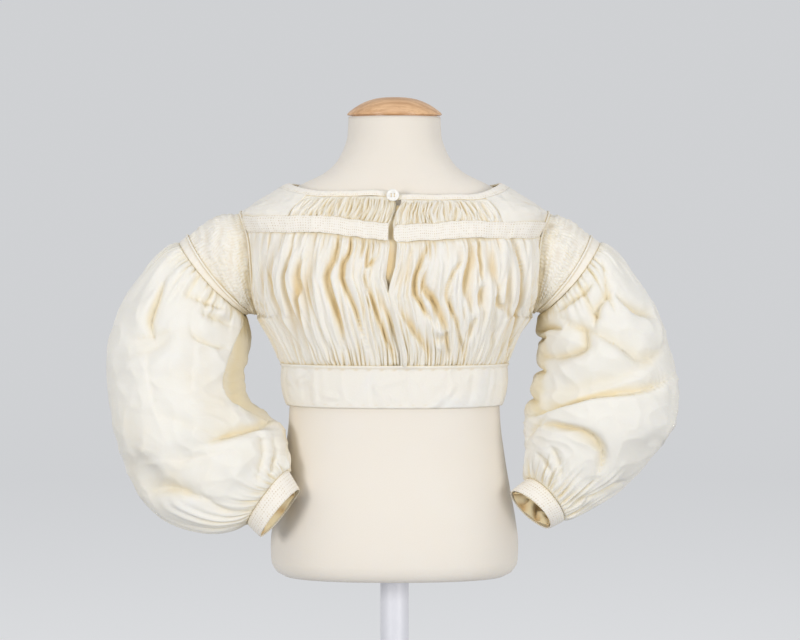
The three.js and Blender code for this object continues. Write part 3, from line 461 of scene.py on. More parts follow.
# Fronts
# Each front is one piece of fine cotton, drawn up by hand on threads at the waist seam, under the chest
# band and at the neckline. The fine gathers run together into a dozen deep folds over the chest.
BODY_SECTIONS = np.array([
    # height, half width, front depth, back depth, squareness
    (386, 98.4, 77, 73, 2.2),
    (400, 104, 82, 77, 2.2),
    (414, 110, 86, 80, 2.25),
    (430, 119, 89, 82, 2.3),
    (450, 127, 90, 84, 2.4),
    (474, 131, 88, 84, 2.4),
    (500, 133, 80, 78, 2.4),
    (518, 135, 71, 72, 2.4),
    (525, 126, 67, 69, 2.4),
    (532, 114, 62, 65, 2.35),
    (539, 103, 58, 61, 2.3),
    (546, 92, 54, 57, 2.25),
])
RIGHT = -1
LEFT = 1
SIDES = {RIGHT: "right", LEFT: "left"}
ARMHOLE_MIDDLE = 474
ARMHOLE_HALF_HEIGHT = 44
ARMHOLE_HALF_DEPTH = 34
ARMHOLE_EDGE = 1.8
WAIST_SEAM = 386.6
FRONT_NECK = {RIGHT: 532.8, LEFT: 529.6}
SHOULDER_NECK = 540.4
BACK_NECK = 535
CHEST_LINES = {RIGHT: (501.5, 508.4), LEFT: (499.6, 503.5)}
OPENING_RADIUS = 85
STRAP_FRONT_ANGLE = math.radians(58)
STRAP_GAP_ANGLE = math.radians(0.1)
COTTON_THICKNESS = 0.0006


def smooth_step(value, start, end):
    """0 before start and 1 after end, with a soft rise between them."""
    t = np.clip((value - start) / (end - start), 0, 1)
    return t * t * (3 - 2 * t)


def between(value, start, full, fading, end):
    """1 in the middle, with a soft rise from start to full and a soft fall from fading to end."""
    return smooth_step(value, start, full) * (1 - smooth_step(value, fading, end))


def blend(first, second, share):
    return first + (second - first) * share


def body_surface(angle, z):
    return section_point(BODY_SECTIONS, angle, z)


def body_side(y, z):
    """The bodice's half width where a line at depth y from the middle meets it."""
    half_width, front, back, power = (
        smooth_curve(BODY_SECTIONS[:, 0], BODY_SECTIONS[:, k], z) for k in (1, 2, 3, 4)
    )
    share = np.minimum(1, np.abs(y) / np.where(y < 0, front, back))
    return half_width * (1 - share ** power) ** (1 / power)


def neck_height(angle):
    """The neckline's height. The wearer's left half sits a little lower."""
    turned = np.arctan2(np.sin(angle), np.cos(angle))
    from_front = np.abs(turned)
    front = np.where(turned > 0, FRONT_NECK[LEFT], FRONT_NECK[RIGHT])
    rise = smooth_step(from_front, math.radians(48), math.radians(86))
    fall = smooth_step(from_front, math.radians(94), math.radians(140))
    return blend(blend(front, SHOULDER_NECK, rise), BACK_NECK, fall)


def armhole_depth(z):
    share = (z - ARMHOLE_MIDDLE) / (ARMHOLE_HALF_HEIGHT + ARMHOLE_EDGE)
    return (ARMHOLE_HALF_DEPTH + ARMHOLE_EDGE) * np.sqrt(np.maximum(0, 1 - share * share))


def front_edge(z):
    """The angle from the front where a front panel ends, at the side seam or the armhole."""
    depth = np.maximum(0.15, armhole_depth(z))
    return np.arctan2(body_side(-depth, z), depth)


def chest_line(side, share):
    """The height of a chest band's middle line, from the opening to the armhole."""
    centre, outer = CHEST_LINES[side]
    return blend(centre, outer, smooth_step(share, 0, 0.62))


def laid_on(base, u, v, lift, lean=0.0, outward=1):
    """Points moved out from the smooth surface base(u, v) by lift, and along u by lean."""
    step = 1e-3
    along_u = base(u + step, v) - base(u - step, v)
    along_v = base(u, v + step) - base(u, v - step)
    normal = np.cross(along_u, along_v)
    normal *= outward / np.linalg.norm(normal, axis=-1, keepdims=True)
    sideways = along_u / np.linalg.norm(along_u, axis=-1, keepdims=True)
    lift, lean = (np.broadcast_to(value, len(normal))[:, None] for value in (lift, lean))
    return base(u, v) + normal * lift + sideways * lean


def ripple(draw, x, y, waves=7):
    """A soft uneven wave over a surface, mostly between -1 and 1."""
    total = np.zeros_like(x)
    for _ in range(waves):
        heading = draw.uniform(0, FULL_TURN)
        size = draw.uniform(0.6, 1.7)
        phase = draw.uniform(0, FULL_TURN)
        total += np.sin(size * (x * math.cos(heading) + y * math.sin(heading)) + phase)
    return total * 0.93 / waves ** 0.5


def round_ripple(draw, turn, waves_round, down, waves=9):
    """The same on a tube, where it meets itself. waves_round and down are its pace round and along."""
    total = np.zeros_like(turn)
    pace = waves_round / FULL_TURN
    for _ in range(waves):
        heading = draw.normal(size=3)
        heading /= np.linalg.norm(heading)
        phase = draw.uniform(0, FULL_TURN)
        at = pace * (np.cos(turn) * heading[0] + np.sin(turn) * heading[1]) + down * heading[2]
        total += np.sin(draw.uniform(1.0, 2.4) * at + phase)
    return total * 0.93 / waves ** 0.5


def fold_lines(folds, x, y, size, spread=0.0, edge=2.0, closed=False):
    """The height of folds on a cut of that width and length in millimetres. A fold's trough follows a
    line through places given as shares of both. It has a depth, and a width on the left and on the
    right of the line's way, to which spread is added. A higher edge makes its sides steeper."""
    total = np.zeros_like(x)
    for line, depth, left, right in folds:
        knots = np.linspace(0, 1, len(line))
        share = np.linspace(0, 1, 48)
        path_x = size[0] * smooth_curve(knots, [at[0] for at in line], share)
        path_y = size[1] * smooth_curve(knots, [at[1] for at in line], share)
        step_x, step_y = np.gradient(path_x), np.gradient(path_y)
        away_x = (x * size[0])[:, None] - path_x
        if closed:
            away_x = (away_x + size[0] / 2) % size[0] - size[0] / 2
        away_y = (y * size[1])[:, None] - path_y
        distance = np.hypot(away_x, away_y)
        nearest = np.argmin(distance, axis=1)
        pick = np.arange(len(x))
        leftward = step_x[nearest] * away_y[pick, nearest] - step_y[nearest] * away_x[pick, nearest]
        width = np.where(leftward > 0, left, right) + spread
        strength = np.sin(math.pi * np.clip(share[nearest], 0.02, 0.98)) ** 0.6
        total += depth * strength * np.exp(-(distance[pick, nearest] / width) ** edge)
    return total


def gathers(draw, across, up, count, width, height, start, end, rise, fall, sway, roundness=2.0,
            wrap=False):
    """The height of count folds side by side, where the highest shows. Each has its own place, width,
    height and path, and lives between heights start and end, with rise and fall at its ends. The width
    and the sway are shares of the room that a fold has. wrap is for a tube."""
    total = np.zeros_like(across)
    spacing = 1 / count
    for i in range(count):
        at = (i + 0.5 + draw.uniform(-0.35, 0.35)) * spacing
        phase, waves = draw.uniform(0, FULL_TURN), draw.uniform(3, 8)
        swaying = 0.6 * np.sin(waves * up + phase) + draw.uniform(-1, 1) * (up - 0.5)
        path = at + spacing * sway * swaying
        breadth = width * spacing * draw.uniform(0.7, 1.25)
        begins = start + draw.uniform(0, 1) * rise * 0.6
        ends = end - draw.uniform(0, 1) * fall
        tall = height * draw.uniform(0.55, 1.0)
        away = across - path
        if wrap:
            away = (away + 0.5) % 1 - 0.5
        ridge = np.clip(1 - np.abs(away / breadth) ** roundness, 0, None)
        alive = smooth_step(up, begins, begins + rise) * (1 - smooth_step(up, ends - fall, ends))
        total += (tall * ridge * alive) ** 5
    return total ** 0.2


COTTON_CREST = (0.885, 0.85, 0.785, 1)
# The second colour is painted shade, the gold the cotton is given deep in its folds.
COTTON_FOLD_SHADE = (0.72, 0.53, 0.27, 1)
COTTON_THREAD = 0.0004

cotton = cloth_finish("fine_cotton", COTTON_CREST, COTTON_FOLD_SHADE, COTTON_THREAD)

CHEST_SHARE = 0.79
UPRIGHT_SHARE = 0.55
FRONT_SEEDS = {RIGHT: 31, LEFT: 57}
FRONT_LAPS = {RIGHT: -1.5, LEFT: 0.9}
FRONT_CUT = (130, 107)

# The right front's edge lies under the left one's. Each is given by its heights and how far it lies to
# the wearer's left of the middle.
FRONT_EDGES = {
    RIGHT: ((387, 400, 417, 434, 448, 463, 490, 507, 513, 522), (7, 6, 3, 0, -3, -7, -4, -5.4, -2, 1.4)),
    LEFT: (
        (390, 400, 417, 434, 448, 457, 472, 490, 496, 506, 518, 527),
        (5.7, 4.8, 0.6, -2.9, -5.4, -3.7, 0.6, 2.3, 1.4, -1.5, 1.4, 7.8),
    ),
}

# The main troughs between the waist and the chest band, from above down. Places are shares from the
# opening to the side and from the waist to the band. The widths are the side's and the opening's.
FRONT_FOLDS = {
    RIGHT: [
        ([(0.65, 0.88), (0.72, 0.76), (0.74, 0.66), (0.72, 0.52), (0.68, 0.38), (0.67, 0.24),
          (0.70, 0.05)], 4, 6, 3),
        ([(0.55, 0.90), (0.57, 0.76), (0.60, 0.64), (0.61, 0.50), (0.61, 0.34), (0.63, 0.20),
          (0.65, 0.06)], 5, 2, 3.5),
        ([(0.47, 0.80), (0.50, 0.68), (0.51, 0.56), (0.54, 0.46), (0.55, 0.36), (0.57, 0.22),
          (0.60, 0.06)], 6, 2.5, 2),
        ([(0.435, 0.90), (0.44, 0.74), (0.455, 0.62), (0.475, 0.50), (0.485, 0.40), (0.49, 0.28)], 4, 4, 5),
        ([(0.32, 0.93), (0.325, 0.80), (0.355, 0.66), (0.36, 0.54), (0.352, 0.40), (0.345, 0.30),
          (0.362, 0.12)], 8, 2, 2.6),
        ([(0.24, 0.96), (0.24, 0.86), (0.27, 0.74), (0.27, 0.64), (0.25, 0.50), (0.23, 0.38),
          (0.205, 0.14)], 7, 2.2, 1.8),
        ([(0.17, 0.98), (0.174, 0.88), (0.181, 0.78)], 4, 1.4, 1.4),
        ([(0.125, 0.96), (0.135, 0.84), (0.13, 0.75), (0.10, 0.78), (0.07, 0.83)], 5, 2.2, 2.2),
        ([(0.145, 0.70), (0.13, 0.56), (0.118, 0.46), (0.10, 0.33), (0.077, 0.18),
          (0.05, 0.06)], 6, 1.6, 2.4),
        ([(0.06, 0.60), (0.055, 0.48), (0.035, 0.36), (0.018, 0.22), (0.012, 0.08)], 5, 3, 1.5),
        ([(0.80, 0.80), (0.84, 0.62), (0.85, 0.44), (0.82, 0.26), (0.80, 0.08)], 3, 5, 3),
        ([(0.91, 0.62), (0.93, 0.42), (0.91, 0.24), (0.88, 0.06)], 2.5, 3, 3),
    ],
    LEFT: [
        ([(0.030, 0.86), (0.018, 0.72), (0.020, 0.56), (0.028, 0.42)], 2.5, 1.2, 1.2),
        ([(0.10, 0.94), (0.088, 0.80), (0.092, 0.68), (0.088, 0.60)], 3, 1.2, 2.5),
        ([(0.045, 0.80), (0.05, 0.68), (0.05, 0.56)], 2.5, 3.5, 3),
        ([(0.054, 0.50), (0.07, 0.38), (0.105, 0.28), (0.15, 0.18), (0.21, 0.05)], 5, 5, 2),
        ([(0.21, 0.93), (0.17, 0.82), (0.147, 0.70), (0.162, 0.58), (0.185, 0.50), (0.215, 0.41),
          (0.24, 0.34)], 7, 1.5, 2.6),
        ([(0.175, 0.74), (0.21, 0.60), (0.245, 0.53), (0.275, 0.46), (0.295, 0.36),
          (0.325, 0.26)], 8, 3.2, 2.6),
        ([(0.375, 0.88), (0.373, 0.79), (0.342, 0.70), (0.332, 0.60), (0.34, 0.50), (0.36, 0.42),
          (0.385, 0.33), (0.40, 0.24),
          (0.43, 0.14), (0.46, 0.04)], 5.5, 1.3, 2),
        ([(0.44, 0.93), (0.42, 0.80), (0.405, 0.68), (0.413, 0.58), (0.435, 0.48), (0.46, 0.38)], 6, 4, 1.4),
        ([(0.482, 0.94), (0.47, 0.82), (0.477, 0.70), (0.488, 0.62)], 5, 1.4, 1.2),
        ([(0.488, 0.60), (0.49, 0.52), (0.487, 0.43)], 5, 2.4, 1.5),
        ([(0.542, 0.93), (0.542, 0.76), (0.562, 0.66), (0.60, 0.54)], 5, 2, 5),
        ([(0.585, 0.53), (0.61, 0.45), (0.65, 0.43)], 5, 1.8, 3),
        ([(0.735, 0.97), (0.775, 0.82), (0.805, 0.66), (0.80, 0.54), (0.785, 0.44), (0.75, 0.35),
          (0.77, 0.25), (0.80, 0.16),
          (0.86, 0.02)], 7, 1.6, 3.2),
        ([(0.235, 0.29), (0.275, 0.27), (0.32, 0.25)], -2.5, 2.5, 2.5),
        ([(0.235, 0.225), (0.28, 0.205), (0.315, 0.23)], 2.5, 3, 2),
        ([(0.23, 0.17), (0.273, 0.15), (0.306, 0.19)], -2.5, 2.5, 2.5),
        ([(0.48, 0.37), (0.467, 0.30), (0.462, 0.20)], 4, 1.4, 2.2),
        ([(0.577, 0.40), (0.596, 0.26), (0.62, 0.14)], 3, 1.5, 3),
        ([(0.323, 0.27), (0.327, 0.17), (0.335, 0.04)], 5, 1.4, 1.6),
        ([(0.66, 0.80), (0.67, 0.62), (0.68, 0.46), (0.69, 0.28), (0.70, 0.08)], 3.5, 3, 5),
        ([(0.90, 0.66), (0.92, 0.46), (0.93, 0.26), (0.94, 0.06)], 3, 3, 3),
    ],
}


# The gathers and the creases between them: how many, their width and height, where they start and end,
# their rise and fall, sway and roundness.
FRONT_GATHERS = {
    "waist": (34, 0.6, 3.0, -0.02, 0.38, 0.05, 0.24, 0.3),
    "under_band": (32, 0.6, 2.8, -0.02, 0.34, 0.05, 0.20, 0.3),
    "above": (27, 0.6, 2.9, 0.02, 1.02, 0.2, 0.10, 0.6),
    "long": (27, 0.55, 2.6, -0.1, 1.02, 0.2, 0.3, 0.35, 1.5),
    "waist_creases": (40, 0.26, 2.6, -0.06, 0.42, 0.04, 0.28, 0.4, 1.2),
    "band_creases": (34, 0.26, 2.2, -0.06, 0.34, 0.04, 0.22, 0.4, 1.2),
    "long_creases": (16, 0.16, 1.4, 0.0, 1.0, 0.3, 0.3, 0.5, 1.2),
    "above_creases": (36, 0.24, 1.5, -0.02, 1.02, 0.15, 0.1, 0.6, 1.2),
}


def place_front(side, across, rows):
    draw = np.random.default_rng(FRONT_SEEDS[side])
    over_band = (rows - CHEST_SHARE) / (1 - CHEST_SHARE)
    up = np.where(rows < CHEST_SHARE, rows / CHEST_SHARE, 1 + over_band)
    chest = np.minimum(up, 1)
    share = np.clip(across + 0.012 * np.sin(up * 5 + across * 9) * np.sin(across * math.pi), 0, 1)
    lower = blend(WAIST_SEAM, chest_line(side, share), chest)
    height = np.where(up > 1, blend(lower, neck_height(side * 0.1), up - 1), lower)
    start = side * np.interp(height, *FRONT_EDGES[side]) / OPENING_RADIUS
    squeeze = smooth_step(up, 0.95, 0.995)
    edge = blend(front_edge(lower), STRAP_FRONT_ANGLE - STRAP_GAP_ANGLE, squeeze)
    upright_end = blend(start, math.pi / 2, UPRIGHT_SHARE)
    upright = blend(start, math.pi / 2, share)
    closing = blend(upright_end, edge, (share - UPRIGHT_SHARE) / (1 - UPRIGHT_SHARE))
    below = np.where(share < UPRIGHT_SHARE, upright, closing)
    angle = side * blend(below, blend(start, edge, share), squeeze)
    z = np.where(up > 1, blend(lower, neck_height(angle), up - 1), lower)

    below_band = up < 1
    upright_share = (side * angle - start) / (math.pi / 2 - start)
    at = blend(upright_share, across, squeeze)
    troughs = -0.5 * fold_lines(FRONT_FOLDS[side], across, chest, FRONT_CUT, 0.0, 3.0)
    hollows = -0.7 * fold_lines(FRONT_FOLDS[side], across, chest, FRONT_CUT, 1.2, 1.1)
    waist = gathers(draw, across, up, *FRONT_GATHERS["waist"])
    under_band = gathers(draw, at, 1 - up, *FRONT_GATHERS["under_band"])
    above = gathers(draw, across, up - 1, *FRONT_GATHERS["above"])
    long = gathers(draw, at, up, *FRONT_GATHERS["long"])
    fine = (waist ** 3 + under_band ** 3 + long ** 3) ** (1 / 3)
    minor = 0.5 * ripple(draw, across * 60, up * 5) + 0.25 * ripple(draw, across * 170, up * 16)
    creases = gathers(draw, across, up, *FRONT_GATHERS["waist_creases"])
    creases += gathers(draw, at, 1 - up, *FRONT_GATHERS["band_creases"])
    creases += gathers(draw, at, up, *FRONT_GATHERS["long_creases"])
    above_creases = gathers(draw, across, up - 1, *FRONT_GATHERS["above_creases"])
    middle = between(up, 0.05, 0.35, 0.72, 0.97)
    flat_edge = between(across, 0.0, 0.02, 0.955, 1.0)
    lap = FRONT_LAPS[side] * (1 - smooth_step(across, 0.03, 0.12))
    seated = 0.5 - 0.5 * smooth_step(up, 0.0, 0.07)
    tucked = 1 - 0.65 * smooth_step(up, 0.90, 0.945)
    above = above * blend(0.4, 1.0, smooth_step(up, 1.18, 1.3))
    chest_folds = tucked * (fine - creases) + troughs + hollows + (minor + 2.2) * middle
    body = np.where(below_band, chest_folds, above - above_creases)
    lean = side * flat_edge * body * 0.3 * ripple(draw, across * 9, up * 3)

    # painted shade: the fold value darkens the deep troughs, the gathers near the seams and the creases
    # between them
    trough_shade = 0.75 * np.clip(-(troughs + 0.3 * hollows) / 4, 0, 1) ** 1.5
    near_seam = np.where(below_band, smooth_step(np.abs(up - 0.48), 0.2, 0.5), 0.2)
    crest = np.where(below_band, fine / 1.4, above / 1.6)
    beside = blend(0.12, 0.3, near_seam) * np.clip(1 - crest, 0, 1)
    beside += np.clip(np.where(below_band, 0.45 * creases, 0.15 * above_creases) / 2.2, 0, 1)
    fold = 1 - np.clip(np.where(below_band, trough_shade, 0) + beside, 0, 1) * flat_edge
    return laid_on(body_surface, angle, z, flat_edge * body + lap + seated, lean), fold


for side, wearers in SIDES.items():
    front = lay_piece(
        f"gathered_front_{wearers}", partial(place_front, side), cotton, [f"front_{wearers}"],
        columns=290, rows=124, cut=(0.27, 0.16), thickness=COTTON_THICKNESS, turned=side == RIGHT,
    )


# Back
# The back is one wide piece of the same cotton, gathered at the waist seam and the neckline like the
# fronts. Its ends meet the fronts at the sides and slant in beside the shoulder straps.
STRAP_BACK_ANGLE = math.radians(128)
STRAP_BACK_FOOT = 503


def back_edge(z):
    depth = np.maximum(0.15, armhole_depth(z))
    return math.pi - np.arctan2(body_side(depth, z), depth)


# The gathers and creases, as for the fronts.
BACK_GATHERS = {
    "deep": (23, 0.62, 7.5, 0.03, 0.97, 0.28, 0.2, 0.25, 2.4),
    "waist": (60, 0.60, 2.2, -0.02, 0.40, 0.05, 0.22, 0.2),
    "neck": (56, 0.60, 2.2, -0.02, 0.42, 0.05, 0.22, 0.2),
    "waist_creases": (70, 0.26, 2.0, -0.06, 0.45, 0.04, 0.28, 0.3, 1.2),
    "neck_creases": (66, 0.26, 2.0, -0.06, 0.45, 0.04, 0.28, 0.3, 1.2),
}


def place_back(across, up):
    draw = np.random.default_rng(83)
    z = blend(WAIST_SEAM, BACK_NECK - 0.3, up)
    slant = np.clip((z - STRAP_BACK_FOOT) / (neck_height(STRAP_BACK_ANGLE) - STRAP_BACK_FOOT), 0, 1)
    edge = blend(back_edge(np.minimum(z, STRAP_BACK_FOOT)), STRAP_BACK_ANGLE, slant) + STRAP_GAP_ANGLE
    angle = blend(edge, FULL_TURN - edge, across)
    deep = gathers(draw, across, up, *BACK_GATHERS["deep"])
    waist = gathers(draw, across, up, *BACK_GATHERS["waist"])
    neck = gathers(draw, across, 1 - up, *BACK_GATHERS["neck"])
    middle = between(up, 0.05, 0.35, 0.6, 0.97)
    minor = 0.5 * ripple(draw, across * 300, up * 14)
    creases = gathers(draw, across, up, *BACK_GATHERS["waist_creases"])
    creases += gathers(draw, across, 1 - up, *BACK_GATHERS["neck_creases"])
    folds = (deep ** 3 + waist ** 3 + neck ** 3) ** (1 / 3) - creases
    flat_edge = between(across, 0.0, 0.03, 0.97, 1.0)
    lift = flat_edge * (folds + minor * middle - 2.5 * middle)
    lean = flat_edge * folds * 0.35 * ripple(draw, across * 18, up * 3)
    # painted shade: darker between the gathers
    fold = blend(0.45, 1.0, np.clip(folds / blend(1.6, 4.5, middle), 0, 1)) * flat_edge + 1 - flat_edge
    return laid_on(body_surface, angle, z, lift + 0.5 - 0.5 * smooth_step(up, 0.0, 0.07), lean), fold


back = lay_piece(
    "gathered_back", place_back, cotton, ["back"], columns=250, rows=80, cut=(0.46, 0.16),
    thickness=COTTON_THICKNESS,
)


# Shoulder straps
# A plain ungathered strap of cotton lies over each shoulder, from the chest band in front to a slanting
# seam behind. The neckband binds its inner edge and the armhole piping its outer one.
STRAP_FRONT_FOOT = 509
STRAP_FRONT_SHARE = 0.3
STRAP_LAP = math.radians(0.8)


def place_strap(side, across, along):
    draw = np.random.default_rng(12 + side)

    def inner_edge(along):
        over = np.clip((along - STRAP_FRONT_SHARE) / (1 - STRAP_FRONT_SHARE), 0, 1)
        angle = blend(STRAP_FRONT_ANGLE - STRAP_LAP, STRAP_BACK_ANGLE - STRAP_GAP_ANGLE, over)
        up = np.clip(along / STRAP_FRONT_SHARE, 0, 1)
        return angle, blend(STRAP_FRONT_FOOT, neck_height(side * angle), up) - 0.1

    def outer_edge(along):
        half_height = ARMHOLE_HALF_HEIGHT + ARMHOLE_EDGE
        foot_front, foot_back = (
            math.acos(min(1, (foot - ARMHOLE_MIDDLE) / half_height))
            for foot in (STRAP_FRONT_FOOT, STRAP_BACK_FOOT)
        )
        turn = blend(-foot_front, foot_back, along)
        z = ARMHOLE_MIDDLE + half_height * np.cos(turn)
        y = (ARMHOLE_HALF_DEPTH + ARMHOLE_EDGE) * np.sin(turn)
        return math.pi / 2 + np.arctan2(y, body_side(y, z)), z

    inner_angle, inner_z = inner_edge(along)
    outer_angle, outer_z = outer_edge(along)
    edges = np.sin(math.pi * across) * np.sin(math.pi * along)
    pulled = np.abs(ripple(draw, across * 6, along * 26))
    pulled += 0.5 * np.abs(ripple(draw, across * 14, along * 60))
    lift = 0.7 - 0.8 * across + edges * (0.5 * ripple(draw, across * 5, along * 16) + 0.8 * pulled - 0.5)
    angle = side * blend(inner_angle, outer_angle, across)
    # painted shade: darker between the pulled wrinkles near the strap's middle
    fold = 1 - 0.5 * np.clip(1 - 2.2 * pulled, 0, 1) * edges
    return laid_on(body_surface, angle, blend(inner_z, outer_z, across), lift), fold


pressed_cotton = cloth_finish(
    "pressed_cotton", COTTON_CREST, COTTON_FOLD_SHADE, COTTON_THREAD, washed=0.8, aged=0.15, crumpled=1.0,
    crease_scale=55, crease_depth=0.004,
)
for side, wearers in SIDES.items():
    strap = lay_piece(
        f"plain_strap_{wearers}", partial(place_strap, side), pressed_cotton,
        [f"shoulder_strap_{wearers}"], columns=36, rows=70, cut=(0.05, 0.11), thickness=COTTON_THICKNESS,
        turned=side == RIGHT,
    )


# Chest bands
# A narrow band is stitched over the gathers of each front along both its edges, with small openwork
# between the stitches. The left one ends round, just past the opening.
BAND_WIDTH = 14.4
BAND_LENGTH = 150
BAND_SEAM = 5.6
BAND_STITCH = 1.6
BAND_END_TOP = 512
BAND_END_GAP = math.radians(1.2)
BAND_STARTS = {RIGHT: 5.6, LEFT: -0.8}
BAND_THICKNESS = 0.0009
BAND_CREST = (0.875, 0.835, 0.77, 1)
# The darker colour is painted shade, given in the bands' stitch rows and folds.
BAND_FOLD_SHADE = (0.62, 0.48, 0.29, 1)
BAND_THREAD = 0.0007

band_cotton = cloth_finish("stitched_band", BAND_CREST, BAND_FOLD_SHADE, BAND_THREAD, washed=0.15)
openwork_cotton = cloth_finish(
    "openwork_cotton", BAND_CREST, BAND_FOLD_SHADE, BAND_THREAD, washed=0.15, openwork=0.55,
)


def stitch_rows(along, across, rows, pitch, size=0.45):
    """How deep a place lies in rows of small stitches, from 0 to 1. All sizes are in millimetres. A
    whole number of stitches fits the length."""
    deep = np.zeros_like(along)
    pitch = along.max() / round(along.max() / pitch)
    for i, row in enumerate(rows):
        beat = np.cos(math.pi * (along / pitch + 0.5 * (i % 2))) ** 2
        deep = np.maximum(deep, beat ** 2 * np.exp(-((across - row) / size) ** 2))
    return deep


def place_chest_band(side, along, across):
    draw = np.random.default_rng(5 + side)
    height = (across - 0.5) * BAND_WIDTH
    wavy = 0.35 * ripple(draw, along * 34, across * 1.5) + 0.15 * ripple(draw, along * 120, across * 2)
    z = chest_line(side, along) + height + wavy
    edge = front_edge(np.minimum(z, BAND_END_TOP)) - BAND_END_GAP
    angle = blend(BAND_STARTS[side] / OPENING_RADIUS, edge, along)
    near_edge = (2 * np.abs(across - 0.5)) ** 4
    if side == LEFT:
        angle = angle + 0.045 * near_edge * np.exp(-along * 40)
    seams = stitch_rows(along * BAND_LENGTH, height, (-BAND_SEAM, BAND_SEAM), BAND_STITCH, 0.7)
    wave = 0.45 * ripple(draw, along * 26, across * 3) + 0.25 * ripple(draw, along * 90, across * 4)
    over_gathers = 1 - smooth_step(along, 0.6, 0.72)
    lift = 1.3 + 1.1 * over_gathers + 0.7 * (1 - near_edge) + wave - 0.35 * seams
    # painted shade: darker in the sunken stitch rows
    return laid_on(body_surface, side * angle, z, lift), 1 - 0.45 * seams


for side, wearers in SIDES.items():
    band = lay_piece(
        f"openwork_band_{wearers}", partial(place_chest_band, side), openwork_cotton,
        [f"chest_band_{wearers}"], columns=260, rows=22, cut=(0.15, 0.0144), thickness=BAND_THICKNESS,
        turned=side == RIGHT,
    )


# Neckband
# One straight strip binds the neckline, folded over a drawn thread. It runs from the middle of the
# front round the neck and back to it, with a row of backstitches near its lower edge.
NECKBAND_HEIGHT = 4.8
NECKBAND_LENGTH = 400
NECKBAND_SEAM = 1.4
NECKBAND_STITCH = 1.7
NECKBAND_THICKNESS = 0.0014
NECKBAND_GAP = math.radians(0.6)


def place_neckband(along, across):
    draw = np.random.default_rng(9)
    angle = blend(NECKBAND_GAP, FULL_TURN - NECKBAND_GAP, along)
    length = along * NECKBAND_LENGTH
    height = (NECKBAND_HEIGHT + 0.2) * across
    seam = stitch_rows(length, height, (NECKBAND_SEAM,), NECKBAND_STITCH, 0.6)
    puckers = 0.22 * np.cos(length * 2.1 + 2 * ripple(draw, length * 0.2, across))
    roll = np.sin(math.pi * np.clip(across, 0.02, 0.98)) ** 0.35
    lift = 0.2 + 0.55 * roll + puckers * roll - 0.4 * seam - 0.8 * across
    z = neck_height(angle) + height + 0.35 * ripple(draw, length * 0.16, across * 0)
    # painted shade: darker in the sunken row of backstitches
    return laid_on(body_surface, angle, z, lift), 1 - 0.7 * seam


neckband = lay_piece(
    "folded_neckband", place_neckband, band_cotton, ["neckband"], columns=520, rows=9,
    cut=(0.4, 0.0048), thickness=NECKBAND_THICKNESS,
)


# Button
# A flat four-hole button of white shell closes the neckband. It is turned with a low rim and a dished
# middle, and sewn on with a thick cotton thread.
BUTTON_TILT = math.radians(20)
BUTTON_HALF = 0.0009
HOLE_PLACE = 0.00135
HOLE_RADIUS = 0.00055
THREAD_RADIUS = 0.00042
BUTTON_PROFILE = [
    (0, 0), (4.9, 0), (5.4, 0.25), (5.6, 0.8), (5.5, 1.35), (5.1, 1.75), (4.6, 1.8), (4.1, 1.6),
    (3.6, 1.25), (0, 1.15),
]
button_low, button_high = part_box("neck_button")
button_middle = (button_low + button_high) / 2 - Vector((0, 0, 0.002))

holes_bm = bmesh.new()
for x in (-HOLE_PLACE, HOLE_PLACE):
    for y in (-HOLE_PLACE, HOLE_PLACE):
        bmesh.ops.create_cone(
            holes_bm, cap_ends=True, segments=16, radius1=HOLE_RADIUS, radius2=HOLE_RADIUS, depth=0.006,
            matrix=Matrix.Translation((x, y, 0.001)),
        )
drill = bpy.data.objects.new("button_holes", mesh_from("button_holes", holes_bm))
drill.data.shade_flat()
blank = bpy.data.objects.new("button_blank", turned_mesh("button_blank", BUTTON_PROFILE, 48))
for thing in (drill, blank):
    bpy.context.collection.objects.link(thing)
drilling = blank.modifiers.new("holes", "BOOLEAN")
drilling.operation = "DIFFERENCE"
drilling.object = drill
drilling.solver = "EXACT"
drilled = bpy.data.meshes.new_from_object(blank.evaluated_get(bpy.context.evaluated_depsgraph_get()))
drilled.name = "shell_button"
for thing in (drill, blank):
    bpy.data.objects.remove(thing)
button_place = Matrix.Translation(button_middle)
button_place @= Matrix.Rotation(math.pi / 2 - BUTTON_TILT, 4, "X")
button_place @= Matrix.Translation((0, 0, -BUTTON_HALF))
drilled.transform(button_place)

shell, shell_tree, shell_shader = new_finish("white_shell")
clouds = range_of(shell_tree, noise_of(shell_tree, place_of(shell_tree), 260, 3.0), 0.35, 0.7)
feed(shell_tree, shell_shader, {
    "Base Color": mix_colours(shell_tree, clouds, (0.90, 0.88, 0.84, 1), (0.80, 0.79, 0.76, 1)),
    "Roughness": 0.28, "Coat Weight": 0.4, "Coat Roughness": 0.12,
})
add_piece("shell_button", drilled, shell, ["neck_button"])

thread_bm = bmesh.new()
for x in (-HOLE_PLACE, HOLE_PLACE):
    bmesh.ops.create_cone(
        thread_bm, cap_ends=True, segments=8, radius1=THREAD_RADIUS, radius2=THREAD_RADIUS, depth=0.003,
        matrix=Matrix.Translation((x, 0, 0.001)) @ Matrix.Rotation(math.pi / 2, 4, "X"),
    )
thread_mesh = mesh_from("button_thread", thread_bm)
thread_mesh.transform(button_place)
add_piece("button_thread", thread_mesh, cotton, [])


# Underlap
# A straight strip is sewn behind the right front's edge, so that nothing gapes when the opening is
# closed. Little of it shows.
UNDERLAP_HALF_WIDTH = 9
UNDERLAP_BOTTOM = 388.6
UNDERLAP_TOP = 526


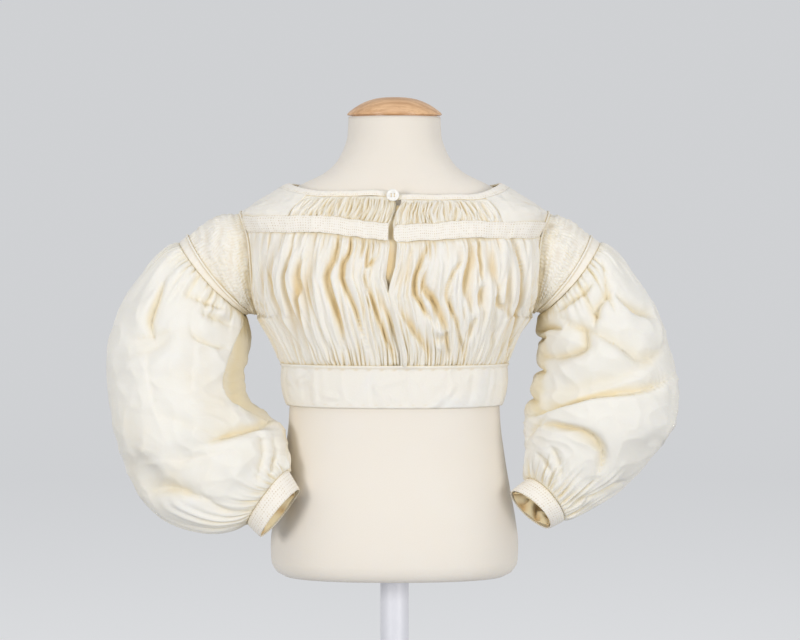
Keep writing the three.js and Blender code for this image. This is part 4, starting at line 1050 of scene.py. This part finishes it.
def place_underlap(across, up):
    draw = np.random.default_rng(3)
    angle = blend(-UNDERLAP_HALF_WIDTH, UNDERLAP_HALF_WIDTH, across) / OPENING_RADIUS
    lift = blend(-6.6, -2.0, smooth_step(up, 0.4, 0.6)) + 0.3 * ripple(draw, across * 2, up * 8)
    # painted shade: the strip gets a low fold value, near the painted fold shade colour, for the shade it
    # lies in between the fronts
    fold = 0.2 + 0.2 * ripple(draw, across * 5, up * 30)
    return laid_on(body_surface, angle, blend(UNDERLAP_BOTTOM, UNDERLAP_TOP, up), lift), fold


underlap = lay_piece(
    "plain_underlap", place_underlap, cotton, ["front_underlap"], columns=12, rows=90,
    cut=(0.018, 0.137), thickness=COTTON_THICKNESS,
)


# Waistband
# A wide flat band of doubled cotton holds the waist. A fine cord is sewn in along its top edge, a row
# of stitches runs below it, and its lower edge is turned under.
WAISTBAND_SECTIONS = np.array([
    # height, half width, front depth, back depth, squareness
    (350, 95.6, 75.4, 72.6, 2.2),
    (362, 98.4, 77.4, 73.6, 2.2),
    (375, 99.6, 78.2, 74, 2.2),
    (383, 99.4, 78, 74, 2.2),
    (386.3, 100, 78.6, 74.6, 2.2),
])


WAISTBAND_BOTTOM = 350
WAISTBAND_TOP = 387.3
WAISTBAND_CORD = 386.1
WAISTBAND_SEAMS = (383.4, 353.4)
WAISTBAND_LENGTH = 560
WAISTBAND_CREASES = 60
DOUBLED_THICKNESS = 0.0012


def waistband_surface(angle, z):
    return section_point(WAISTBAND_SECTIONS, angle, z)


def place_waistband(across, up):
    draw = np.random.default_rng(44)
    angle = across * FULL_TURN
    z = blend(WAISTBAND_BOTTOM, WAISTBAND_TOP, up)
    creases = np.zeros_like(across)
    for _ in range(WAISTBAND_CREASES):
        at, lean, tall = draw.uniform(0, 1), draw.uniform(-0.012, 0.012), draw.uniform(-1.3, 0.9)
        away = ((across - at - lean * up + 0.5) % 1 - 0.5) * WAISTBAND_LENGTH
        creases += tall * np.exp(-np.abs(away / draw.uniform(1.6, 4.0)) ** 1.5)
    cord = np.exp(-((z - WAISTBAND_CORD) / 0.8) ** 2)
    # painted shade: a line darker just under the cord, and darker stitch rows
    shade_under_cord = np.exp(-((z - WAISTBAND_CORD + 1.5) / 0.5) ** 2)
    hem = smooth_step(z, WAISTBAND_BOTTOM, WAISTBAND_BOTTOM + 1.6)
    seam = stitch_rows(across * WAISTBAND_LENGTH, z, WAISTBAND_SEAMS, 1.9, 0.7)
    waves = np.sin(math.pi * np.clip(up, 0, 1)) * ripple(draw, np.cos(angle) * 3, np.sin(angle) * 3)
    lift = creases * np.sin(math.pi * up) ** 0.5 + 1.2 * cord + 0.4 * hem - 0.25 * seam + 0.7 * waves - 0.5
    return laid_on(waistband_surface, angle, z, lift), 1 - 0.6 * seam - 0.4 * shade_under_cord


waist = lay_piece(
    "corded_waistband", place_waistband, pressed_cotton, ["waistband"], columns=340, rows=26,
    cut=(0.57, 0.037), thickness=DOUBLED_THICKNESS, closed=True,
)


# Sleeve caps
# A shirred cap covers the top of each arm. Rows of tiny running stitches round the arm draw the cotton
# up into fine crinkles, and it closes up at the underarm.
SLEEVES = {
    RIGHT: {
        "band_top": (-181.5, 498.2), "band_bottom": (-127.5, 431.5), "cap_bulge": 6.5, "cuff_lean": 11,
        "rings": np.array([
            # share of the length, outer x and z, inner x and z, middle y, half depth
            (0.05, -199, 488, -129, 419, -1, 42),
            (0.13, -221, 467, -126.5, 406, -3, 52),
            (0.24, -243, 434, -127, 390, -6, 61),
            (0.36, -253.5, 394, -129.5, 374, -11, 66),
            (0.48, -250.5, 353, -126, 358, -18, 67),
            (0.6, -242.5, 315, -106, 343, -27, 64),
            (0.72, -229.5, 283, -94, 329, -36, 57),
            (0.83, -202.5, 253.5, -91.5, 312, -49, 47),
            (0.93, -159, 242.5, -91.5, 303, -57, 35),
        ]),
        "cuff_seam": (-125.9, 250, -92.1, 296, -64), "cuff_mouth": (-114.4, 239.7, -82.7, 279.6, -67),
    },
    LEFT: {
        "band_top": (172.5, 497.6), "band_bottom": (126, 433), "cap_bulge": 5, "cuff_lean": 21,
        "rings": np.array([
            # share of the length, outer x and z, inner x and z, middle y, half depth
            (0.05, 188, 489, 127.5, 422, -1, 42),
            (0.13, 208, 467, 125, 412, -2, 51),
            (0.24, 230, 436, 124.5, 399, -4, 59),
            (0.36, 243, 398, 122, 382, -8, 63),
            (0.48, 249.5, 365, 117, 364, -14, 64),
            (0.6, 247, 336, 112.5, 346, -22, 61),
            (0.72, 227, 307, 112, 328, -30, 53),
            (0.83, 202, 281, 113.5, 311, -37, 43),
            (0.93, 169, 262, 114.5, 298, -42, 33),
        ]),
        "cuff_seam": (145.4, 250.9, 116.2, 287.4, -46), "cuff_mouth": (134.4, 245.7, 101.9, 276.8, -51),
    },
}
BAND_DEPTH = 37
BAND_BOW = 4


def armhole_line(side, turn, grow):
    """The armhole's seam, where turn is 0 at the top and a quarter at the front."""
    y = -(ARMHOLE_HALF_DEPTH + grow) * np.sin(turn)
    z = ARMHOLE_MIDDLE + (ARMHOLE_HALF_HEIGHT + grow) * np.cos(turn)
    return np.stack([side * body_side(y, z), y, z], axis=-1)


def band_axes(side):
    """The middle of a sleeve's band, with the directions across it and down the arm, and its radius."""
    top, bottom = (np.array([x, 0, z]) for x, z in (SLEEVES[side]["band_top"], SLEEVES[side]["band_bottom"]))
    across = (top - bottom) / np.linalg.norm(top - bottom)
    down_arm = np.array([side * across[2], 0, -side * across[0]])
    return (top + bottom) / 2, across, down_arm, np.linalg.norm(top - bottom) / 2


def band_line(side, turn, down):
    """A place round the band, moved down the arm."""
    middle, across, down_arm, radius = band_axes(side)
    turn, down = np.broadcast_arrays(turn, down)
    point = middle + across * (radius * np.cos(turn))[:, None]
    point[:, 1] -= BAND_DEPTH * np.sin(turn)
    return point + down_arm * (down + BAND_BOW * np.sin(turn) ** 2)[:, None]


def cap_surface(side):
    def surface(turn, down):
        start = armhole_line(side, turn, 0.2)
        end = band_line(side, turn, -0.2)
        span = end - start
        fullness = np.minimum(1, np.linalg.norm(span, axis=-1) / 50)
        bulge = SLEEVES[side]["cap_bulge"] * fullness * np.sin(math.pi * np.clip(down, 0, 1)) ** 1.3
        point = start + span * down[:, None]
        point[:, 1] -= bulge * np.sin(turn)
        point[:, 2] += bulge * np.cos(turn)
        return point

    return surface


def place_cap(side, across, down):
    draw = np.random.default_rng(70 + side)
    turn = across * FULL_TURN
    inside = blend(0.004, 0.996, down)
    drift = 0.25 * round_ripple(draw, turn, 40, down * 9) + 0.12 * round_ripple(draw, turn, 90, down * 26)
    crinkle = np.abs(np.sin(math.pi * (across * 88 + drift * 2.2))) ** 0.8
    fine = np.abs(np.sin(math.pi * (across * 120 + 1.2 * round_ripple(draw, turn, 60, down * 30)))) ** 0.9
    threads = np.abs(np.sin(math.pi * (down * 7 + 0.12 * round_ripple(draw, turn, 30, down * 3)))) ** 0.5
    patchy = 0.65 + 0.35 * round_ripple(draw, turn, 50, down * 14)
    folds = (1.7 * crinkle + 0.6 * fine) * blend(0.35, 1.0, threads) * patchy
    ends = smooth_step(down, 0, 0.05) * (1 - smooth_step(down, 0.95, 1.0))
    lift = folds * blend(0.35, 1.0, ends) - 0.8 * ends
    # painted shade: darker between the crinkles
    fold = 0.55 + 0.45 * np.clip(folds / 0.9, 0, 1)
    return laid_on(cap_surface(side), turn, inside, lift, outward=side), fold


PIPING_RADIUS = 1.1
PIPING_OUT = 1.7
PIPING_PROUD = 0.9
PIPING_CUT = (0.25, 0.007)


def place_piping(centre, outward, down):
    """A closed cord of that radius, covered in a bias strip that is whipped down with slant stitches."""
    def place(along, around):
        turn = along * FULL_TURN
        section = around * FULL_TURN
        whipped = 0.10 * np.cos(90 * turn + section) + 0.04 * np.cos(31 * turn)
        radius = PIPING_RADIUS + whipped
        across = outward(turn) * (radius * np.cos(section))[:, None]
        # painted shade and light: darker in the grooves between the whipped stitches and lighter on them
        return centre(turn) + across + down * (radius * np.sin(section))[:, None], 0.95 + 1.5 * whipped

    return place


def armhole_piping(side):
    def outward(turn):
        return np.stack([0 * turn, -np.sin(turn), np.cos(turn)], axis=-1)

    def centre(turn):
        return armhole_line(side, turn, PIPING_OUT) + np.array([side * PIPING_PROUD, 0, 0])

    return place_piping(centre, outward, np.array([side, 0, 0]))


def band_piping(side):
    middle, across, down_arm, radius = band_axes(side)

    def outward(turn):
        direction = across * np.cos(turn)[:, None] - np.array([0, 1, 0]) * np.sin(turn)[:, None]
        return direction / np.linalg.norm(direction, axis=-1, keepdims=True)

    def centre(turn):
        return band_line(side, turn, 0.2) + outward(turn) * PIPING_PROUD

    return place_piping(centre, outward, down_arm)


shirred_cotton = cloth_finish(
    "shirred_cotton", COTTON_CREST, (0.60, 0.46, 0.27, 1), 0.0005, washed=0.1, crumpled=1.0,
    crease_scale=110, crease_depth=0.0014,
)
for side, wearers in SIDES.items():
    cap = lay_piece(
        f"shirred_cap_{wearers}", partial(place_cap, side), shirred_cotton,
        [f"sleeve_cap_{wearers}"], columns=330, rows=38, cut=(0.34, 0.05), thickness=COTTON_THICKNESS,
        closed=True, turned=side == RIGHT,
    )
    routes = {
        "armhole_cord": ("armhole_piping", armhole_piping(side)),
        "band_cord": ("sleeve_piping", band_piping(side)),
    }
    cords = [
        lay_piece(
            f"{name}_{wearers}", route, cotton, [f"{node}_{wearers}"], columns=400, rows=6,
            cut=PIPING_CUT, closed=True, turned=side == RIGHT,
        )
        for name, (node, route) in routes.items()
    ]


# Sleeve bands
# A narrow straight band joins each shirred cap to the full sleeve, and it tapers towards the underarm.
BAND_NARROW = 4.0
BAND_BROAD = 9.5
BAND_GIRTH = 250
BAND_SEAM_IN = -1.2


def band_width(turn):
    return blend(BAND_NARROW, BAND_BROAD, (1 + np.cos(turn)) / 2)


def place_sleeve_band(side, across, down):
    draw = np.random.default_rng(20 + side)

    def surface(turn, down):
        return band_line(side, turn, down)

    turn = across * FULL_TURN
    width = band_width(turn)
    at = blend(0.3, width, down)
    seam = stitch_rows(across * BAND_GIRTH, at - width, (BAND_SEAM_IN,), 1.5)
    puckers = 0.22 * round_ripple(draw, turn, 225, down * 2)
    roll = np.sin(math.pi * np.clip(down, 0.02, 0.98)) ** 0.4
    lift = 0.2 + 0.5 * roll + puckers * roll - 0.3 * seam
    # painted shade: darker in the sunken seam
    return laid_on(surface, turn, at, lift, outward=side), 1 - 0.5 * seam


for side, wearers in SIDES.items():
    band = lay_piece(
        f"straight_band_{wearers}", partial(place_sleeve_band, side), band_cotton,
        [f"sleeve_band_{wearers}"], columns=280, rows=8, cut=(0.25, 0.0095), thickness=DOUBLED_THICKNESS,
        closed=True, turned=side == RIGHT,
    )


# Full sleeves
# Each sleeve is one wide piece of the cotton, gathered into the band above and the cuff below. The
# cloth stands off the arm in a soft balloon, with the long slack folds of a sleeve that hangs bent.
SLEEVE_LENGTH = 290
SLEEVE_RADIUS = 62
SLEEVE_SEAM = -0.3
CUFF_DEPTH = 21

# The main troughs. A place is a turn from the sleeve's outer edge in degrees and a share of its length,
# and each line runs the way the turn grows. The widths are on its lower and on its upper side.
SLEEVE_FOLDS = {
    RIGHT: [
        ([(165, 0.01), (147, 0.14), (143, 0.27), (141, 0.4), (146, 0.47), (156, 0.52),
          (171, 0.61)], -8, 2.2, 20),
        ([(50, 0.1), (55, 0.16), (58, 0.22), (68, 0.27)], -8, 2.5, 7),
        ([(74, 0.1), (95, 0.08), (122, 0.04)], -4, 3, 4),
        ([(92, 0.17), (104, 0.215), (124, 0.22), (138, 0.19)], -3.5, 2.5, 5),
        ([(98, 0.12), (113, 0.095), (136, 0.085)], -4.5, 8, 2),
        ([(40, 0.3), (62, 0.27), (84, 0.22)], -2.5, 9, 2),
        ([(66, 0.31), (70, 0.4), (72, 0.5)], -1.4, 2, 9),
        ([(104, 0.24), (108, 0.34), (106, 0.44)], -1.4, 9, 2),
        ([(60, 0.67), (80, 0.7), (104, 0.71)], -1.8, 3, 9),
        ([(25, 0.37), (58, 0.33), (77, 0.28), (85, 0.2)], -3, 7, 16),
        ([(48, 0.5), (83, 0.53), (101, 0.59), (119, 0.65)], -2.6, 14, 18),
        ([(95, 0.66), (112, 0.64), (125, 0.63), (150, 0.62), (175, 0.61)], -8.5, 6, 11),
        ([(25, 0.76), (48, 0.77), (62, 0.8), (67, 0.86)], -8, 6, 13),
        ([(60, 0.95), (66, 0.9), (71, 0.83)], -3, 6, 6),
        ([(108, 0.95), (128, 0.85), (136, 0.76), (139, 0.67)], -3.5, 4, 5),
        ([(125, 0.96), (140, 0.9), (151, 0.8), (152, 0.7)], -3.5, 4, 5),
        ([(34, 0.42), (35, 0.54), (35, 0.67)], 2, 16, 16),
        ([(215, 0.3), (250, 0.36), (290, 0.34)], -4.5, 7, 14),
        ([(200, 0.62), (235, 0.6), (285, 0.63), (320, 0.7)], -5.5, 6, 12),
        ([(230, 0.14), (250, 0.2), (262, 0.27)], -4, 6, 9),
        ([(290, 0.26), (305, 0.18), (300, 0.1)], -3.5, 6, 8),
        ([(240, 0.8), (270, 0.77), (310, 0.81)], -4, 5, 9),
        ([(161, 0.01), (143, 0.14), (139, 0.27), (137, 0.4), (142, 0.47), (152, 0.52),
          (168, 0.6)], 1.6, 1.3, 1.3),
    ],
    LEFT: [
        ([(45, 0.05), (62, 0.12), (70, 0.2)], -3.5, 2, 4),
        ([(84, 0.05), (88, 0.12), (84, 0.2)], -3, 2, 3),
        ([(70, 0.08), (95, 0.07), (130, 0.05)], -5.5, 3, 5),
        ([(58, 0.13), (80, 0.15), (94, 0.21)], -6.5, 2.5, 7),
        ([(18, 0.26), (35, 0.24), (51, 0.2), (59, 0.14)], -7.5, 3, 7),
        ([(10, 0.31), (28, 0.35), (52, 0.37), (78, 0.3), (104, 0.2), (131, 0.06)], -5.5, 4.5, 12),
        ([(122, 0.13), (105, 0.21), (106, 0.28), (130, 0.3), (165, 0.28)], -7.5, 5, 7),
        ([(125, 0.16), (150, 0.1), (178, 0.1)], -8, 4, 6),
        ([(38, 0.36), (67, 0.4), (96, 0.43), (124, 0.46), (163, 0.47)], -3, 10, 14),
        ([(25, 0.44), (65, 0.48), (96, 0.49), (122, 0.53), (147, 0.59), (160, 0.62)], -10.5, 2.5, 15),
        ([(41, 0.39), (64, 0.43), (92, 0.46), (118, 0.5), (140, 0.56)], 3, 8, 6),
        ([(138, 0.6), (150, 0.66), (172, 0.78)], -4.5, 7, 6),
        ([(60, 0.87), (73, 0.77), (88, 0.7), (108, 0.65), (128, 0.64), (146, 0.66)], -8, 12, 2.6),
        ([(110, 0.95), (130, 0.9), (150, 0.84)], -3, 4, 4),
        ([(96, 0.94), (116, 0.86), (129, 0.78)], -3, 4, 5),
        ([(10, 0.82), (25, 0.87), (38, 0.93), (53, 0.97)], -4.5, 4, 8),
        ([(19, 0.24), (24, 0.3), (26, 0.36)], 2.5, 7, 7),
        ([(215, 0.3), (250, 0.37), (295, 0.36), (330, 0.3)], -5, 6, 14),
        ([(200, 0.58), (235, 0.55), (285, 0.52), (325, 0.48)], -7, 5, 14),
        ([(230, 0.12), (250, 0.18), (265, 0.27)], -4.5, 6, 9),
        ([(290, 0.25), (305, 0.18), (300, 0.1)], -3.5, 6, 8),
        ([(240, 0.8), (270, 0.76), (310, 0.8)], -4, 5, 9),
        ([(150, 0.16), (180, 0.17), (215, 0.15)], -7, 5, 5),
        ([(150, 0.37), (182, 0.36), (220, 0.37)], -7, 5, 5),
        ([(155, 0.53), (182, 0.52), (215, 0.54)], -5, 6, 4),
    ],
}


def sleeve_rings(side):
    """The rings of a full sleeve from the band to the cuff, with how far each leans up the sleeve."""
    sleeve = SLEEVES[side]
    ends = [band_line(side, np.array([turn]), band_width(turn) + SLEEVE_SEAM)[0] for turn in (0, math.pi)]
    first = (0, ends[0][0], ends[0][2], ends[1][0], ends[1][2], 0, BAND_DEPTH)
    last = (1, *sleeve["cuff_seam"], CUFF_DEPTH)
    rings = np.vstack([first, sleeve["rings"], last])
    return np.column_stack([rings, sleeve["cuff_lean"] * smooth_step(rings[:, 0], 0.6, 1)])


def ring_point(side, columns, turn, bow=0.0):
    """A point round a ring, whose columns are outer x and z, inner x and z, middle y, depth and lean."""
    outer_x, outer_z, inner_x, inner_z, middle_y, depth, lean = columns
    flat = 0 * outer_x
    outer = np.stack([outer_x, flat + middle_y, outer_z], axis=-1)
    inner = np.stack([inner_x, flat + middle_y, inner_z], axis=-1)
    half = (outer - inner) / 2
    down = np.stack([side * half[:, 2], flat, -side * half[:, 0]], axis=-1)
    down /= np.linalg.norm(down, axis=-1, keepdims=True)
    tip = np.radians(lean)
    front = -down * np.sin(tip)[:, None]
    front[:, 1] = -np.cos(tip)
    around = half * np.cos(turn)[:, None] + front * (depth * np.sin(turn))[:, None]
    return (outer + inner) / 2 + around + down * (flat + bow)[:, None]


def sleeve_surface(side):
    rings = sleeve_rings(side)

    def surface(turn, down):
        columns = [smooth_curve(rings[:, 0], rings[:, k], down) for k in range(1, 8)]
        bow = BAND_BOW * np.sin(turn) ** 2 * (1 - smooth_step(down, 0, 0.3))
        return ring_point(side, columns, turn, bow)

    return surface


# The gathers and pleats at the band and at the cuff: how many, their width and height, where they start
# and end, their rise and fall, sway and roundness.
SLEEVE_GATHERS = (
    ("band", 60, 0.6, 2.8, -0.03, 0.2, 0.05, 0.1, 0.5, 1.6),
    ("band", 15, 0.42, 3.0, -0.03, 0.34, 0.05, 0.2, 0.6, 1.3),
    ("cuff", 42, 0.56, 3.4, -0.03, 0.26, 0.05, 0.16, 0.5, 1.4),
    ("band", 44, 0.22, 2.4, -0.05, 0.17, 0.02, 0.1, 0.6, 1.2),
    ("cuff", 36, 0.22, 2.6, -0.05, 0.2, 0.02, 0.12, 0.6, 1.2),
)


def place_sleeve(side, across, along):
    draw = np.random.default_rng(90 + side)
    turn = across * FULL_TURN
    down = blend(0.002, 0.998, along)
    at_band, pulled, at_cuff, head, wrist = (
        gathers(draw, across, down if start == "band" else 1 - down, *sizes, wrap=True)
        for start, *sizes in SLEEVE_GATHERS
    )
    fewer = 1 - 0.75 * between(turn, 1.75, 2.3, 2.7, 3.3) * smooth_step(down, 0.04, 0.09)
    at_band = np.maximum(at_band, pulled) * fewer
    pleats = (head * fewer + wrist) * smooth_step(down, 0.0, 0.012) * smooth_step(1 - down, 0.0, 0.015)
    slack = between(down, 0.05, 0.3, 0.75, 0.97)
    soft = 0.8 * round_ripple(draw, turn, 9, down * 5)
    soft -= 1.5 * np.abs(round_ripple(draw, turn, 50, down * 36)) ** 0.6
    lines = [([(at[0] / 360, at[1]) for at in line], *sizes) for line, *sizes in SLEEVE_FOLDS[side]]
    size = (FULL_TURN * SLEEVE_RADIUS, SLEEVE_LENGTH)
    folded = 1.5 * fold_lines(lines, across, down, size, edge=1.0, closed=True)
    held = smooth_step(down, 0.0, 0.015) * smooth_step(1 - down, 0.0, 0.02)
    lift = held * (at_band + at_cuff) + folded + soft * slack - pleats
    # painted shade: darker in the troughs, in the gathers near the band and cuff, between the pleats, and on
    # the inner side of the upper sleeve, which faces the body
    seams = 1 - (smooth_step(down, 0.02, 0.12) - smooth_step(down, 0.9, 0.98))
    inner = between(across, 0.40, 0.44, 0.55, 0.65) * (1 - smooth_step(down, 0.55, 0.7))
    fold = 1 - np.clip(-folded / 20, 0, 0.3) - 0.4 * seams * np.clip(1 - (at_band + at_cuff) / 2.2, 0, 1)
    fold -= 0.35 * np.clip(pleats / 2.2, 0, 1) + 0.5 * inner
    return laid_on(sleeve_surface(side), turn, down, lift, outward=side), fold


sleeve_cotton = cloth_finish(
    "full_sleeve_cotton", (0.885, 0.86, 0.80, 1), (0.82, 0.70, 0.45, 1), COTTON_THREAD, crumpled=1.0,
    crease_scale=20, crease_depth=0.014,
)
for side, wearers in SIDES.items():
    sleeve = lay_piece(
        f"full_sleeve_{wearers}", partial(place_sleeve, side), sleeve_cotton,
        [f"sleeve_{wearers}"], columns=230, rows=134, cut=(0.42, 0.30), thickness=COTTON_THICKNESS,
        closed=True, turned=side == RIGHT,
    )


# Cuffs
# A narrow cuff of the openwork band closes each sleeve. It is pressed flat and bent a little, and its
# mouth is open.
CUFF_GIRTHS = {RIGHT: 157, LEFT: 140}
CUFF_WIDTH = 15
CUFF_SEAMS = (1.4, 13.4)
CUFF_STITCH = 2.2
TUCK_HEIGHT = 4.4
TUCK_THICKNESS = 0.0005
TUCKS = (9, 0.6, TUCK_HEIGHT, -0.3, 1.3, 0.2, 0.2, 0.4)


def cuff_surface(side):
    shape = SLEEVES[side]

    def surface(turn, down):
        def ring(key):
            columns = [np.full(len(turn), value) for value in (*shape[key], CUFF_DEPTH, shape["cuff_lean"])]
            return ring_point(side, columns, turn)

        return blend(ring("cuff_seam"), ring("cuff_mouth"), down[:, None])

    return surface


def place_cuff(side, across, down):
    draw = np.random.default_rng(50 + side)
    turn = across * FULL_TURN
    edges = stitch_rows(across * CUFF_GIRTHS[side], down * CUFF_WIDTH, CUFF_SEAMS, CUFF_STITCH, 0.7)
    wave = 0.8 * round_ripple(draw, turn, 14, down * 1.2) * down
    roll = 1 - np.abs(2 * down - 1) ** 5
    lift = 0.5 + 0.5 * roll + wave - 0.3 * edges
    at = blend(-0.02, 1.0, down)
    # painted shade: darker in the sunken stitch rows
    return laid_on(cuff_surface(side), turn, at, lift, outward=side), 1 - 0.4 * edges


def place_cuff_inside(side, across, down):
    """The gathered end of the sleeve inside its cuff."""
    draw = np.random.default_rng(60 + side)
    turn = across * FULL_TURN
    tucks = gathers(draw, across, down, *TUCKS, wrap=True)
    lift = -1.6 - tucks * (1 - smooth_step(down, 0.6, 1.0)) - 0.5 * tucks
    return laid_on(cuff_surface(side), turn, blend(0.05, 0.93, down), lift, outward=side), tucks / TUCK_HEIGHT


# painted shade: the cotton inside the cuff is given a deep gold for the shade inside the sleeve, and darker
# still between its tucks
shaded_inside_cotton = cloth_finish(
    "shaded_inside_cotton", (0.93, 0.78, 0.50, 1), (0.72, 0.48, 0.22, 1), COTTON_THREAD, washed=0.0,
)
for side, wearers in SIDES.items():
    tucks = lay_piece(
        f"cuff_tucks_{wearers}", partial(place_cuff_inside, side), shaded_inside_cotton, [],
        columns=120, rows=8, cut=(0.2, 0.012), thickness=TUCK_THICKNESS, closed=True, turned=side == RIGHT,
    )
    cut = (CUFF_GIRTHS[side] / 1000, CUFF_WIDTH / 1000)
    cuff = lay_piece(
        f"openwork_cuff_{wearers}", partial(place_cuff, side), openwork_cotton, [f"cuff_{wearers}"],
        columns=200, rows=16, cut=cut, thickness=BAND_THICKNESS, closed=True, turned=side == RIGHT,
    )
